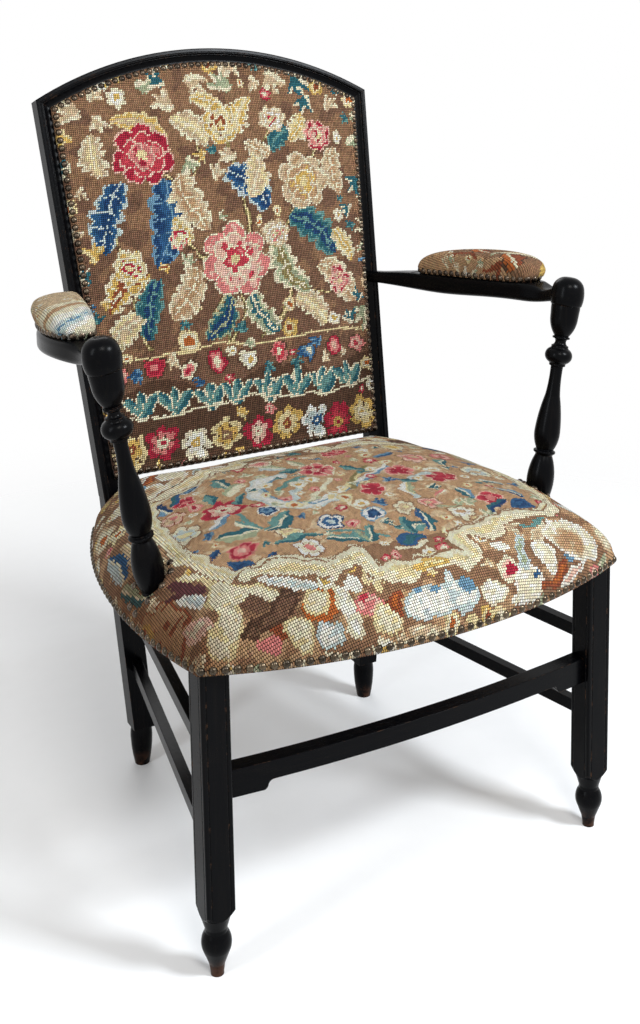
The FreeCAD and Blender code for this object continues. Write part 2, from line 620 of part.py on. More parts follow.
def arm(post):
    base, axis = support_axis()
    knob_low = base + axis * SUPPORT_LENGTH
    knob_mid = knob_low + axis * KNOB_HEIGHT * 0.44
    rear_y = arm_face_y(ARM_REAR_Z)

    def under_pad(share, below):
        y = PAD_FRONT_Y + (PAD_REAR_Y - PAD_FRONT_Y) * share
        swell = (PAD_HALF_WIDTH - PAD_END_HALF_WIDTH) * 4 * share * (1 - share)
        half_width = PAD_END_HALF_WIDTH + 1.5 + swell
        return arm_section(y, pad_x(y), half_width, ARM_REAR_Z - below, pad_top_z(y) + PAD_REBATE)

    wires = [
        arm_section(rear_y + 12, ARM_REAR_X - 5, 9, ARM_REAR_Z - 9.5, ARM_REAR_Z + 9),
        arm_section(rear_y - 18, ARM_REAR_X + 10, 13, ARM_REAR_Z - 9.5, ARM_REAR_Z + 9.5),
        under_pad(1.02, 12.0),
        under_pad(0.84, 12.5),
        under_pad(0.65, 11.0),
        under_pad(0.46, 7.5),
        under_pad(0.27, 4.0),
        under_pad(0.1, 2.0),
        under_pad(-0.01, 1.0),
        arm_section(PAD_FRONT_Y - 26, (PAD_FRONT_X + knob_mid.x) / 2, 17, ARM_REAR_Z + 2, PAD_FRONT_Z - 4),
        arm_section(SUPPORT_Y + 20, knob_mid.x, 16.5, ARM_REAR_Z + 7, PAD_FRONT_Z + 1),
        arm_section(SUPPORT_Y, knob_mid.x, 15, ARM_REAR_Z + 10, PAD_FRONT_Z + 9),
    ]
    ends = (PAD_FRONT_Y - 4, PAD_REAR_Y + 4)
    bed = [V(0, y, pad_top_z(y)) for y in ends] + [V(0, y, PAD_FRONT_Z + PAD_HEIGHT) for y in reversed(ends)]
    paddle = Part.makeLoft(wires, True, False).cut(closed_face(bed).extrude(V(600, 0, 0)))
    high = KNOB_HEIGHT
    knob = turned([(KNOB_RADIUS - 2.6, 0), (KNOB_RADIUS - 1.6, 1.5),
                   (KNOB_RADIUS, high * 0.36, KNOB_RADIUS - 1.2, high * 0.62),
                   (KNOB_RADIUS * 0.72, high * 0.88, 0.02, high)])
    knob = placed(knob, knob_low, axis)
    shape = joined(paddle, knob).cut(post)
    shape = max(shape.Solids, key=lambda solid: solid.Volume)
    return joined(shape, arm_tenon(0)).cut(support_top_mortise())


def arm_tenon(gap):
    start = V(ARM_REAR_X, arm_face_y(ARM_REAR_Z), ARM_REAR_Z) + BACK_OUT * 8
    peg = Part.makeCylinder(ARM_TENON_RADIUS + gap, ARM_TENON_LENGTH + 8 + gap)
    return placed(peg, start, BACK_OUT * -1)


# Arm pads: a long crowned cushion on the arm

def pad_wire(rise, inset, share):
    """pad outline: two bowed sides and two rounded ends, shrunk about its middle"""
    front = PAD_FRONT_Y + inset
    rear = PAD_REAR_Y - inset
    middle = (front + rear) / 2
    end = PAD_END_HALF_WIDTH - inset
    wide = PAD_HALF_WIDTH - inset
    round_in = 16.0
    spots = [(front + round_in, -end), (front, 0), (front + round_in, end), (middle, wide),
             (rear - round_in, end), (rear, 0), (rear - round_in, -end), (middle, -wide)]
    centre_y = (PAD_FRONT_Y + PAD_REAR_Y) / 2
    centre_x = pad_x(centre_y)
    p = []
    for y, aside in spots:
        near_x = centre_x + (pad_x(y) + aside - centre_x) * share
        near_y = centre_y + (y - centre_y) * share
        p.append(V(near_x, near_y, pad_top_z(near_y) + rise))
    edges = [arc(p[0], p[1], p[2]), arc(p[2], p[3], p[4]), arc(p[4], p[5], p[6]), arc(p[6], p[7], p[0])]
    return Part.Wire(edges)


def pad_form(inset, height):
    wires = [pad_wire(height * rise, inset, share) for share, rise in PAD_DRAWN_IN]
    return Part.makeLoft(wires, True, False)


# Stretchers

def side_stretcher(z, gap, tenons_only=False):
    """straight right-hand stretcher between front leg and rear post, with a tenon at each end"""
    x0, x1, y0, y1 = rear_leg_section(z + SIDE_STRETCHER_HEIGHT / 2)
    front = V(LEG_X, LEG_BACK, z)
    rear = V((x0 + x1) / 2, y0, z)
    run = rear - front
    aside = V(run.y, -run.x, 0).normalize()
    along = V(run.x, run.y, 0).normalize()
    thick = SIDE_STRETCHER_WIDTH / 2 - STRETCHER_SHOULDER + gap
    low = z + STRETCHER_SHOULDER - gap
    high = z + SIDE_STRETCHER_HEIGHT - STRETCHER_SHOULDER + gap
    reach = STRETCHER_TENON + gap
    tongue = prism_between(front - along * reach, rear + along * reach, aside, thick, low, high)
    if tenons_only:
        return tongue
    half = SIDE_STRETCHER_WIDTH / 2
    body = prism_between(front - along * 30, rear + along * 30, aside, half, z, z + SIDE_STRETCHER_HEIGHT)
    ends = box(0, 400, LEG_BACK, 0, 0, 1000).fuse(rear_leg_front(z))
    return joined(body.common(ends), tongue)


def prism_between(start, end, aside, half, low, high):
    a = start + aside * half
    b = end + aside * half
    c = end - aside * half
    d = start - aside * half
    return prism([(p.x, p.y) for p in (a, b, c, d)], low, high)


def rear_leg_front(z):
    """space in front of the rear leg's tapering front face"""
    low = rear_leg_section(z - 10)
    high = rear_leg_section(z + 60)
    points = [V(0, -1, z - 10), V(0, low[2], z - 10), V(0, high[2], z + 60), V(0, -1, z + 60)]
    return closed_face(points).extrude(V(400, 0, 0))


def rear_stretcher(gap, tenons_only=False):
    z0 = REAR_STRETCHER_Z
    z1 = z0 + SIDE_STRETCHER_HEIGHT
    low = rear_leg_section(z0)
    high = rear_leg_section(z1)
    y = (low[2] + low[3]) / 2
    half = SIDE_STRETCHER_WIDTH / 2
    thick = half - STRETCHER_SHOULDER + gap
    reach = min(low[0], high[0]) + STRETCHER_TENON + gap
    tongue_low = z0 + STRETCHER_SHOULDER - gap
    tongue_high = z1 - STRETCHER_SHOULDER + gap
    tongue = box(-reach, reach, y - thick, y + thick, tongue_low, tongue_high)
    if tenons_only:
        return tongue
    face_y = y - half
    points = [V(-low[0], face_y, z0), V(low[0], face_y, z0), V(high[0], face_y, z1), V(-high[0], face_y, z1)]
    body = closed_face(points).extrude(V(0, 2 * half, 0))
    return joined(body, tongue)


STRETCHER_FRONT = LEG_FRONT + FRONT_STRETCHER_SETBACK
STRETCHER_LOW = FRONT_STRETCHER_TOP - FRONT_STRETCHER_HEIGHT


def front_stretcher_tenon(gap):
    y = STRETCHER_FRONT + FRONT_STRETCHER_DEPTH / 2
    half = FRONT_STRETCHER_DEPTH / 2 - STRETCHER_SHOULDER - 2 + gap
    return box(LEG_IN - 1, LEG_IN + STRETCHER_TENON + gap, y - half, y + half,
               STRETCHER_LOW - gap, FRONT_STRETCHER_TOP - STRETCHER_SHOULDER + gap)


def front_stretcher():
    """bowed plank in plan, cut to a bracketed outline in front view"""
    bow = FRONT_STRETCHER_BOW
    deep = FRONT_STRETCHER_DEPTH
    y = STRETCHER_FRONT
    edges = [arc(V(-LEG_IN, y, 0), V(0, y - bow, 0), V(LEG_IN, y, 0)),
             Part.makeLine(V(LEG_IN, y, 0), V(LEG_IN, y + deep, 0)),
             arc(V(LEG_IN, y + deep, 0), V(0, y + deep - bow, 0), V(-LEG_IN, y + deep, 0)),
             Part.makeLine(V(-LEG_IN, y + deep, 0), V(-LEG_IN, y, 0))]
    plank = Part.Face(Part.Wire(edges)).extrude(V(0, 0, FRONT_STRETCHER_TOP))
    low = STRETCHER_LOW
    drop = low - BRACKET_DROP
    x2 = LEG_IN - BRACKET_LENGTH
    x1 = x2 - BRACKET_OGEE
    xm = (x1 + x2) / 2
    zm = low - BRACKET_DROP * 0.55

    def ogee(s):
        swell = V(s * (x1 + BRACKET_OGEE * 0.3), 0, low - BRACKET_DROP * 0.12)
        first = arc(V(s * x1, 0, low), swell, V(s * xm, 0, zm))
        second = arc(V(s * xm, 0, zm), V(s * (x2 - 2.6), 0, drop - 0.2), V(s * x2, 0, drop))
        return [first, second]

    top = FRONT_STRETCHER_TOP
    line = Part.makeLine
    outline = [line(V(-LEG_IN, 0, top), V(LEG_IN, 0, top)), line(V(x1, 0, low), V(-x1, 0, low))]
    for s in (1, -1):
        outline.append(line(V(s * LEG_IN, 0, top), V(s * LEG_IN, 0, drop)))
        outline.append(line(V(s * LEG_IN, 0, drop), V(s * x2, 0, drop)))
        outline += ogee(s)
    sheet = Part.Face(Part.Wire(Part.__sortEdges__(outline)))
    sheet.translate(V(0, y - bow - 5, 0))
    body = plank.common(sheet.extrude(V(0, deep + bow + 10, 0)))
    tenon = front_stretcher_tenon(0)
    return joined(body, tenon, mirrored(tenon))


# Back rails

def crest_tenon(gap):
    """tongue from the crest down into the right stile"""
    up = CORNER_UP / FLARE_COS
    return along_stile(10 - gap, 24 + gap, 11 - gap, 21 + gap, up - 46 - gap, up - 6)


def crest_rail():
    section = frame_moulding()
    turn = FreeCAD.Placement(V(0, 0, CREST_CENTRE + CREST_RADIUS), FreeCAD.Rotation(V(0, 1, 0), 90))
    section = section.transformed(turn.toMatrix())
    half = math.degrees(math.asin(CORNER_HALF_WIDTH / CREST_RADIUS)) + 6
    section.rotate(V(0, 0, CREST_CENTRE), V(0, 1, 0), -half)
    arch = section.revolve(V(0, 0, CREST_CENTRE), V(0, 1, 0), 2 * half)
    stile_side = mitre_block(-1)
    arch = arch.cut(stile_side).cut(mirrored(stile_side))
    tongue = crest_tenon(0)
    return leaned(joined(arch, tongue, mirrored(tongue)))


LOWER_RAIL_TOP = LOWER_RAIL_UP + LOWER_RAIL_HEIGHT


def lower_rail_tenon(gap):
    middle = LAND_DROP + LOWER_RAIL_DEPTH / 2
    x = stile_x(STILE_WIDTH, LOWER_RAIL_UP)
    return box(x - 4, x + TENON_LENGTH + gap, middle - 4 - gap, middle + 4 + gap,
               LOWER_RAIL_UP + 5 - gap, LOWER_RAIL_TOP - 5 + gap)


def lower_back_rail():
    x0 = stile_x(STILE_WIDTH, LOWER_RAIL_UP)
    x1 = stile_x(STILE_WIDTH, LOWER_RAIL_TOP)
    points = [V(-x0, LAND_DROP, LOWER_RAIL_UP), V(x0, LAND_DROP, LOWER_RAIL_UP),
              V(x1, LAND_DROP, LOWER_RAIL_TOP), V(-x1, LAND_DROP, LOWER_RAIL_TOP)]
    body = closed_face(points).extrude(V(0, LOWER_RAIL_DEPTH, 0))
    tenon = lower_rail_tenon(0)
    return leaned(joined(body, tenon, mirrored(tenon)))


# Corner blocks and their screws

def inner_corner(rear):
    """space inside the seat rails, near one right-hand corner"""
    hollow = seat_slab(RAIL_BOTTOM + 5, RAIL_BOTTOM + 5 + BLOCK_HEIGHT, RAIL_PAD, front=FRONT_RAIL_THICK,
                       side=SIDE_RAIL_THICK, rear=REAR_RAIL_THICK)
    if rear:
        corner = (KNEE_HALF_WIDTH, KNEE_BACK)
        inward = -1
    else:
        corner = (LEG_OUT, LEG_FRONT)
        inward = 1
    reach = BLOCK_REACH + STILE_WIDTH
    points = [corner, (corner[0] - reach, corner[1]), (corner[0], corner[1] + inward * reach)]
    return hollow.common(prism(points, RAIL_BOTTOM, RAIL_TOP + 20))


def block_screws(rear):
    """screw spots of one right-hand block, into the cross rail and the side rail, as point and direction"""
    z = RAIL_BOTTOM + 5 + BLOCK_HEIGHT / 2
    inset = RAIL_PAD + SIDE_RAIL_THICK
    if rear:
        face_y = REAR_CORNER[1] - RAIL_PAD - REAR_RAIL_THICK
        cross = (V(KNEE_IN - BLOCK_REACH * 0.38, face_y, z - 5), V(0, 1, 0))
        side_y = RAIL_REAR_Y - BLOCK_REACH * 0.38
    else:
        inner_bow = BOW_RADIUS - RAIL_PAD - FRONT_RAIL_THICK
        face_y = BOW_CENTRE[1] - math.sqrt(inner_bow ** 2 - (LEG_IN - 22) ** 2)
        cross = (V(LEG_IN - 22, face_y, z - 5), V(0, -1, 0))
        side_y = LEG_BACK + 22
    side = (V(side_point(inset, side_y)[0], side_y, z + 5), V(1, 0, 0))
    return [cross, side]


def screw(spot, direction, gap):
    """countersunk screw whose head is let into the block, a third of its length outside the rail"""
    start = spot - direction * SCREW_LENGTH * 0.36
    head = SCREW_HEAD_RADIUS + gap
    shank = SCREW_RADIUS + gap
    body = turned([(head, -gap * 2), (head, 0.6), (shank, 3.2), (shank, SCREW_LENGTH - 5),
                   (0.3 + gap, SCREW_LENGTH + gap)])
    return placed(body, start, direction)


def screw_well(spot, direction):
    """clearance above a screw's head, where the block's slant face is cut back"""
    start = spot - direction * (SCREW_LENGTH * 0.36 + 40)
    return placed(Part.makeCylinder(SCREW_HEAD_RADIUS + 0.6, 40), start, direction)


# Nail rows

def row_on_circle(centre, radius, start, end, pitch, z):
    """points spaced along a plan arc between two points"""
    a0 = math.atan2(start[1] - centre[1], start[0] - centre[0])
    a1 = math.atan2(end[1] - centre[1], end[0] - centre[0])
    count = max(2, round(abs(a1 - a0) * radius / pitch))
    angles = [a0 + (a1 - a0) * i / count for i in range(count + 1)]
    return [V(centre[0] + radius * math.cos(t), centre[1] + radius * math.sin(t), z) for t in angles]


def seat_nail_points():
    """points along the cover's lower edge: front, both sides, and the back between the posts"""
    z = RAIL_BOTTOM + SEAT_NAIL_RISE
    turn_in = NAIL_RADIUS * 0.6
    front = row_on_circle(BOW_CENTRE, BOW_RADIUS, (-FRONT_CORNER[0] + turn_in, FRONT_CORNER[1]),
                          (FRONT_CORNER[0] - turn_in, FRONT_CORNER[1]), SEAT_NAIL_PITCH, z)
    clear = SEAT_NAIL_PITCH * 0.8
    side = row_on_circle(SIDE_CENTRE, SIDE_RADIUS, (FRONT_CORNER[0], FRONT_CORNER[1] + clear),
                         (REAR_CORNER[0], KNEE_Y - NAIL_RADIUS * 2), SEAT_NAIL_PITCH, z)
    other = [V(-p.x, p.y, p.z) for p in side]
    half = KNEE_IN - POST_CLEARANCE - NAIL_RADIUS * 2
    count = round(2 * half / SEAT_NAIL_PITCH)
    rear = [V(-half + 2 * half * i / count, REAR_CORNER[1], z) for i in range(count + 1)]
    return front + side + other + rear


def support_nail_points(form):
    """points on the seat's crown, on a ring round the foot of the right arm support"""
    base, axis = support_axis()
    centre = base + axis * (SUPPORT_NAIL_RISE / axis.z)
    reach = SUPPORT_BULB_RADIUS + SOFT_GAP + NAIL_RADIUS * 1.3
    points = []
    for i in range(SUPPORT_NAILS):
        turn = 2 * math.pi * (i + 0.5) / SUPPORT_NAILS
        spot = centre + V(reach * math.cos(turn), reach * math.sin(turn), 0)
        upright = Part.makeLine(V(spot.x, spot.y, RAIL_BOTTOM), V(spot.x, spot.y, RAIL_TOP + DOME_HEIGHT))
        points.append(max((v.Point for v in form.common(upright).Vertexes), key=lambda p: p.z))
    return points


def back_outline_points(inset, bottom, pitch, y):
    """points all round the arched panel outline, on a plane of the back"""
    points = []
    for edge in back_wire(y, inset, bottom).Edges:
        count = max(2, round(edge.Length / pitch))
        points += edge.discretize(count + 1)[:-1]
    return [leaned_point(p.x, p.y, p.z) for p in points]


def pad_nail_points():
    """points round the foot of the pad's sides, where the cover is drawn in"""
    share, rise = PAD_DRAWN_IN[1]
    points = []
    for edge in pad_wire(PAD_HEIGHT * rise, 0, share).Edges:
        count = max(2, round(edge.Length / PAD_NAIL_PITCH))
        step = (edge.LastParameter - edge.FirstParameter) / count
        points += [edge.valueAt(edge.FirstParameter + (i + 0.5) * step) for i in range(count)]
    return points


# Wooden frame

post = rear_post()
leg = front_leg()
ring = seat_ring()
arm_right = arm(post)
between_legs = box(-LEG_IN, LEG_IN, -600, DOME_CENTRE_Y, 0, 1000)
between_posts = box(-KNEE_IN, KNEE_IN, REAR_CORNER[1] - RAIL_PAD - REAR_RAIL_THICK, 600, 0, 1000)
leg_to_post = box(0, 600, LEG_BACK, RAIL_REAR_Y, 0, 1000)
front_band = seat_slab(RAIL_BOTTOM - 1, RAIL_TOP + 1, -50).cut(
    seat_slab(RAIL_BOTTOM - 2, RAIL_TOP + 2, RAIL_PAD, front=FRONT_RAIL_THICK, side=-80, rear=-80))
rail_front = ring.common(between_legs).common(front_band)
rail_rear = ring.common(between_posts).cut(post).cut(mirrored(post))
rail_right = ring.common(leg_to_post)
block_front = inner_corner(False).cut(leg)
block_rear = inner_corner(True).cut(post)
screw_spots = block_screws(False) + block_screws(True)
screw_cuts = Part.makeCompound([screw(p, d, JOINT_GAP) for p, d in screw_spots])
well_cuts = Part.makeCompound([screw_well(p, d) for p, d in screw_spots])
screw_cuts_both = Part.makeCompound([screw_cuts, mirrored(screw_cuts)])

leg = leg.cut(front_rail_tenon(JOINT_GAP)).cut(side_rail_front_tenon(JOINT_GAP))
leg = leg.cut(front_stretcher_tenon(JOINT_GAP))
for height in (UPPER_STRETCHER_Z, LOWER_STRETCHER_Z):
    leg = leg.cut(side_stretcher(height, JOINT_GAP, True))
    post = post.cut(side_stretcher(height, JOINT_GAP, True))
post = post.cut(side_rail_rear_tenon(JOINT_GAP)).cut(rear_rail_tenon(JOINT_GAP))
post = post.cut(rear_stretcher(JOINT_GAP, True)).cut(arm_tenon(JOINT_GAP))
post = post.cut(leaned(lower_rail_tenon(JOINT_GAP))).cut(leaned(crest_tenon(JOINT_GAP)))

rail_front = joined(rail_front, front_rail_tenon(0), mirrored(front_rail_tenon(0)))
rail_rear = joined(rail_rear, rear_rail_tenon(0), mirrored(rear_rail_tenon(0)))
rail_right = joined(rail_right, side_rail_front_tenon(0), side_rail_rear_tenon(0))
rail_right = rail_right.cut(support_tenon(JOINT_GAP)).cut(screw_cuts)
rail_front = rail_front.cut(screw_cuts_both)
rail_rear = rail_rear.cut(screw_cuts_both)
block_front = block_front.cut(screw_cuts).cut(well_cuts)
block_rear = block_rear.cut(screw_cuts).cut(well_cuts)
support = arm_support()

# Upholstery

web_low = RAIL_TOP
hessian_low = web_low + 2 * WEB_THICK
fill_low = hessian_low + HESSIAN_THICK
web_edge = dict(inset=RAIL_PAD + RAIL_BEVEL + 2, front=FRONT_RAIL_THICK * 0.2, side=SIDE_RAIL_THICK * 0.25)


def soft_cutters():
    """wood that passes through the seat's soft layers, grown by a small clearance"""
    base, axis = support_axis()
    peg = placed(Part.makeCylinder(SUPPORT_BULB_RADIUS + SOFT_GAP, 140), base - axis * 20, axis)
    x = KNEE_IN - POST_CLEARANCE
    front_y = KNEE_Y - BEAD_PROUD - SOFT_GAP
    lean = 100 * math.tan(math.radians(BACK_RAKE))
    outline = [V(x, front_y, RAIL_BOTTOM - 1), V(x, front_y, KNEE_Z), V(x, front_y + lean, KNEE_Z + 100),
               V(x, 500, KNEE_Z + 100), V(x, 500, RAIL_BOTTOM - 1)]
    corner = closed_face(outline).extrude(V(300, 0, 0))
    return Part.makeCompound([peg, corner, mirrored(peg), mirrored(corner)])


through_wood = soft_cutters()


def web_strips(low, count, across):
    """webbing strips of one direction, trimmed to the seat frame"""
    field = seat_slab(low, low + WEB_THICK, **web_edge)
    bounds = field.BoundBox
    strips = []
    for i in range(count):
        share = (i + 0.5) / count
        if across:
            middle = bounds.YMin + 22 + (bounds.YLength - 26) * share
            cut = box(-600, 600, middle - WEB_WIDTH / 2, middle + WEB_WIDTH / 2, 0, 1000)
        else:
            middle = bounds.XMin + 26 + (bounds.XLength - 52) * share
            cut = box(middle - WEB_WIDTH / 2, middle + WEB_WIDTH / 2, -600, 600, 0, 1000)
        strips += field.common(cut).cut(through_wood).Solids
    return strips


seat_webbing = Part.makeCompound(web_strips(web_low, SEAT_WEBS_ACROSS, True)
                                 + web_strips(web_low + WEB_THICK, SEAT_WEBS_ALONG, False))
seat_hessian = seat_slab(hessian_low, fill_low, **web_edge).cut(through_wood)
inner_dome = seat_dome(SEAT_COVER_THICK, DOME_HEIGHT - SEAT_COVER_THICK)
outer_dome = seat_dome(0, DOME_HEIGHT)
web_space = seat_slab(RAIL_TOP - 1, fill_low, **web_edge)
seat_stuffing = inner_dome.cut(seat_block(RAIL_BOTTOM - 1)).cut(web_space).cut(leg).cut(mirrored(leg))
seat_stuffing = max(seat_stuffing.cut(through_wood).Solids, key=lambda solid: solid.Volume)
seat_cover = max(outer_dome.cut(inner_dome).cut(through_wood).Solids, key=lambda solid: solid.Volume)

back_inset = FRAME_FACE + 0.4
rim_inset = back_inset + BACK_COVER_RIM
panel_low = LOWER_RAIL_UP - 1.0
rim_low = panel_low + BACK_COVER_RIM
hollow_form = back_dome(rim_inset, rim_low, LAND_DROP, BACK_CROWN - BACK_COVER_THICK)
panel_form = back_dome(back_inset, panel_low, LAND_DROP, BACK_CROWN)
back_cover = leaned(panel_form.cut(hollow_form))
back_web_y = LAND_DROP - WEB_THICK
hessian_y = back_web_y - WEB_THICK
back_fill = hessian_y - HESSIAN_THICK
stack_inset = rim_inset + 1.5
stack_low = rim_low + 1.5
back_stuffing = leaned(hollow_form.cut(back_slab(back_fill, LAND_DROP + 5, rim_inset - 3, rim_low - 3)))
back_hessian = leaned(back_slab(back_fill, hessian_y, stack_inset, stack_low))


def back_web_strips():
    top = CREST_CENTRE + CREST_RADIUS
    strips = []
    for i in range(BACK_WEBS_ACROSS):
        middle = stack_low + 18 + (top - 110 - stack_low) * (i + 0.5) / BACK_WEBS_ACROSS
        cut = box(-400, 400, -50, 50, middle - WEB_WIDTH / 2, middle + WEB_WIDTH / 2)
        strips += back_slab(back_web_y, LAND_DROP, stack_inset, stack_low).common(cut).Solids
    for i in range(BACK_WEBS_UP):
        middle = KNEE_HALF_WIDTH * 1.5 * ((i + 0.5) / BACK_WEBS_UP - 0.5)
        cut = box(middle - WEB_WIDTH / 2, middle + WEB_WIDTH / 2, -50, 50, 0, 2000)
        strips += back_slab(hessian_y, back_web_y, stack_inset, stack_low).common(cut).Solids
    return strips


back_webbing = leaned(Part.makeCompound(back_web_strips()))
outside_inset = OUTSIDE_BACK_INSET
outside_low = LOWER_RAIL_UP + 3
outside_y = STILE_DEPTH
outside_back = leaned(back_slab(outside_y, outside_y + OUTSIDE_BACK_THICK, outside_inset, outside_low))

pad_stuffing = pad_form(PAD_COVER_THICK, PAD_HEIGHT - PAD_COVER_THICK)
pad_outer = pad_form(0, PAD_HEIGHT)
pad_cover = pad_outer.cut(pad_stuffing)

# Nails: domed heads along every edge of the needlework

seat_nails = nails(settled(outer_dome, seat_nail_points()))
support_spots = settled(outer_dome, support_nail_points(outer_dome))
nail_inset = back_inset + NAIL_RADIUS
nail_low = panel_low + NAIL_RADIUS
back_points = back_outline_points(nail_inset, nail_low, BACK_NAIL_PITCH, LAND_DROP - BACK_CROWN * 0.4)
back_nails = nails(settled(leaned(panel_form), back_points))
outside_points = back_outline_points(outside_inset + NAIL_RADIUS, outside_low + NAIL_RADIUS,
                                     OUTSIDE_NAIL_PITCH, outside_y + OUTSIDE_BACK_THICK + NAIL_LIFT)
outside_nails = nails([(point, BACK_OUT * -1) for point in outside_points])
pad_spots = settled(pad_outer, pad_nail_points())
screws = Part.makeCompound([screw(p, d, 0) for p, d in screw_spots])

pieces = {
    "front_leg_right": leg,
    "front_leg_left": mirrored(leg),
    "rear_post_right": post,
    "rear_post_left": mirrored(post),
    "seat_rail_front": rail_front,
    "seat_rail_right": rail_right,
    "seat_rail_left": mirrored(rail_right),
    "seat_rail_rear": rail_rear,
    "corner_block_front_right": block_front,
    "corner_block_front_left": mirrored(block_front),
    "corner_block_rear_right": block_rear,
    "corner_block_rear_left": mirrored(block_rear),
    "corner_block_screws": Part.makeCompound([screws, mirrored(screws)]),
    "crest_rail": crest_rail(),
    "lower_back_rail": lower_back_rail(),
    "front_stretcher": front_stretcher(),
    "upper_side_stretcher_right": side_stretcher(UPPER_STRETCHER_Z, 0),
    "upper_side_stretcher_left": mirrored(side_stretcher(UPPER_STRETCHER_Z, 0)),
    "lower_side_stretcher_right": side_stretcher(LOWER_STRETCHER_Z, 0),
    "lower_side_stretcher_left": mirrored(side_stretcher(LOWER_STRETCHER_Z, 0)),
    "rear_stretcher": rear_stretcher(0),
    "arm_right": arm_right,
    "arm_left": mirrored(arm_right),
    "arm_support_right": support,
    "arm_support_left": mirrored(support),
    "seat_webbing": seat_webbing,
    "seat_hessian": seat_hessian,
    "seat_stuffing": seat_stuffing,
    "seat_cover": seat_cover,
    "back_webbing": back_webbing,
    "back_hessian": back_hessian,
    "back_stuffing": back_stuffing,
    "back_cover": back_cover,
    "outside_back_cover": outside_back,
    "arm_pad_stuffing_right": pad_stuffing,
    "arm_pad_stuffing_left": mirrored(pad_stuffing),
    "arm_pad_cover_right": pad_cover,
    "arm_pad_cover_left": mirrored(pad_cover),
    "seat_nails": seat_nails,
    "arm_support_nails": nails(support_spots + mirrored_spots(support_spots)),
    "back_nails": back_nails,
    "outside_back_nails": outside_nails,
    "arm_pad_nails_right": nails(pad_spots),
    "arm_pad_nails_left": nails(mirrored_spots(pad_spots)),
}

for name, shape in pieces.items():
    shape.exportStep(f"parts/{name}.step")
    bounds = shape.BoundBox
    low = bounds.XMin, bounds.YMin, bounds.ZMin
    high = bounds.XMax, bounds.YMax, bounds.ZMax
    print(name, len(shape.Solids), shape.isValid(), [round(v, 1) for v in low], [round(v, 1) for v in high])
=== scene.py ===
import math

import bmesh
import bpy
import numpy as np
from mathutils import Matrix, Vector


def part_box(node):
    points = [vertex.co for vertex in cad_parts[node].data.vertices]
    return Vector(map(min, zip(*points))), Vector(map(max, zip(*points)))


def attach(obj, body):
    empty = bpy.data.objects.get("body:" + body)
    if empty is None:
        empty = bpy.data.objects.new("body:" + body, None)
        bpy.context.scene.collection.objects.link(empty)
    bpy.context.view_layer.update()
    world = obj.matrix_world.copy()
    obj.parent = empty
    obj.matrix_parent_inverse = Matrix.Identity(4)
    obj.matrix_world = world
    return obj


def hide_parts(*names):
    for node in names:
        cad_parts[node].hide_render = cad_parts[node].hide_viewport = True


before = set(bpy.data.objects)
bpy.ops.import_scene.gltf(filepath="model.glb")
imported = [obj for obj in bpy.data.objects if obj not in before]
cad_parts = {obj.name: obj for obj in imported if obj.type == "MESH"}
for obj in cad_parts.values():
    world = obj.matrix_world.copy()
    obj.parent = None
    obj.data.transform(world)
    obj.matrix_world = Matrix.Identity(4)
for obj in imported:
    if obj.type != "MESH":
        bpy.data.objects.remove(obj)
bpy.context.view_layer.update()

chance = np.random.default_rng(1885)

# Seat in plan and section, in metres
SEAT_FRONT_CORNER = (0.3015, -0.2860)
SEAT_REAR_CORNER = (0.2465, 0.2115)
SEAT_FRONT_MIDDLE = (0.0, -0.3490)
SEAT_SIDE_MIDDLE = (0.3230, -0.0920)
SEAT_MIDDLE_Y = -0.070
SEAT_EDGE_Z = 0.380
SEAT_CROWN = 0.107
SEAT_SECTION = ((0, 1), (0.15, 0.998), (0.3, 0.986), (0.5, 0.936), (0.65, 0.855), (0.77, 0.745),
                (0.86, 0.612), (0.92, 0.482), (0.965, 0.34), (0.99, 0.195), (1, 0))
SEAT_UNDERSIDE = ((0.993, 0.0), (0.98, 0.2), (0.945, 0.33))
SEAT_NAILED_HEIGHT = 0.016
SEAT_SWELL_FROM = 0.045
SEAT_SWELL_RUN = 0.040
POST_INNER_X = 0.2045
POST_FRONT_Y = 0.1795
POST_CLEARANCE = (0.004, 0.006)
SUPPORT_FOOT = (0.2923, -0.133, 0.416)
SUPPORT_LEAN = math.radians(10.1)
SUPPORT_GIRTH = 0.0170
SUPPORT_HOLD = 0.012
SUPPORT_DIP_REACH = 0.030
SUPPORT_DIP = 0.004

# Raked back
BACK_FOOT = (0.0, 0.182, 0.424)
BACK_RAKE = math.radians(12.4)
BACK_HALF_WIDTH = 0.243
BACK_FLARE = 0.037 / 0.590
CREST_RADIUS = 0.56874
CREST_CENTRE = 0.09496
PANEL_INSET = 0.0204
PANEL_LOW = 0.028
PANEL_SINK = 0.006
PANEL_CROWN = 0.0136
PANEL_MIDDLE_UP = 0.320
PANEL_FULLNESS = 3.0
OUTSIDE_INSET = 0.007
OUTSIDE_LOW = 0.032
OUTSIDE_DEPTH = 0.0267

# Arm pads
PAD_FRONT_Y = -0.062
PAD_REAR_Y = 0.164
PAD_FRONT_X = 0.34441
PAD_REAR_X = 0.29497
PAD_FRONT_Z = 0.72164
PAD_REAR_Z = 0.71014
PAD_BOW = 0.014
PAD_HALF_WIDTH = 0.033
PAD_END_HALF_WIDTH = 0.022
PAD_END_ROUND = 0.016
PAD_HEIGHT = 0.038
PAD_SECTION = ((0, 1), (0.3, 0.998), (0.55, 0.975), (0.74, 0.92), (0.87, 0.825), (0.955, 0.68),
               (0.995, 0.5), (1.012, 0.32), (1.0, 0.14), (0.962, 0))
PAD_FULLNESS = 1.05
PAD_LEAN = 0.008
PAD_FRONT_DROP = 0.1
PAD_REAR_DROP = 0.3

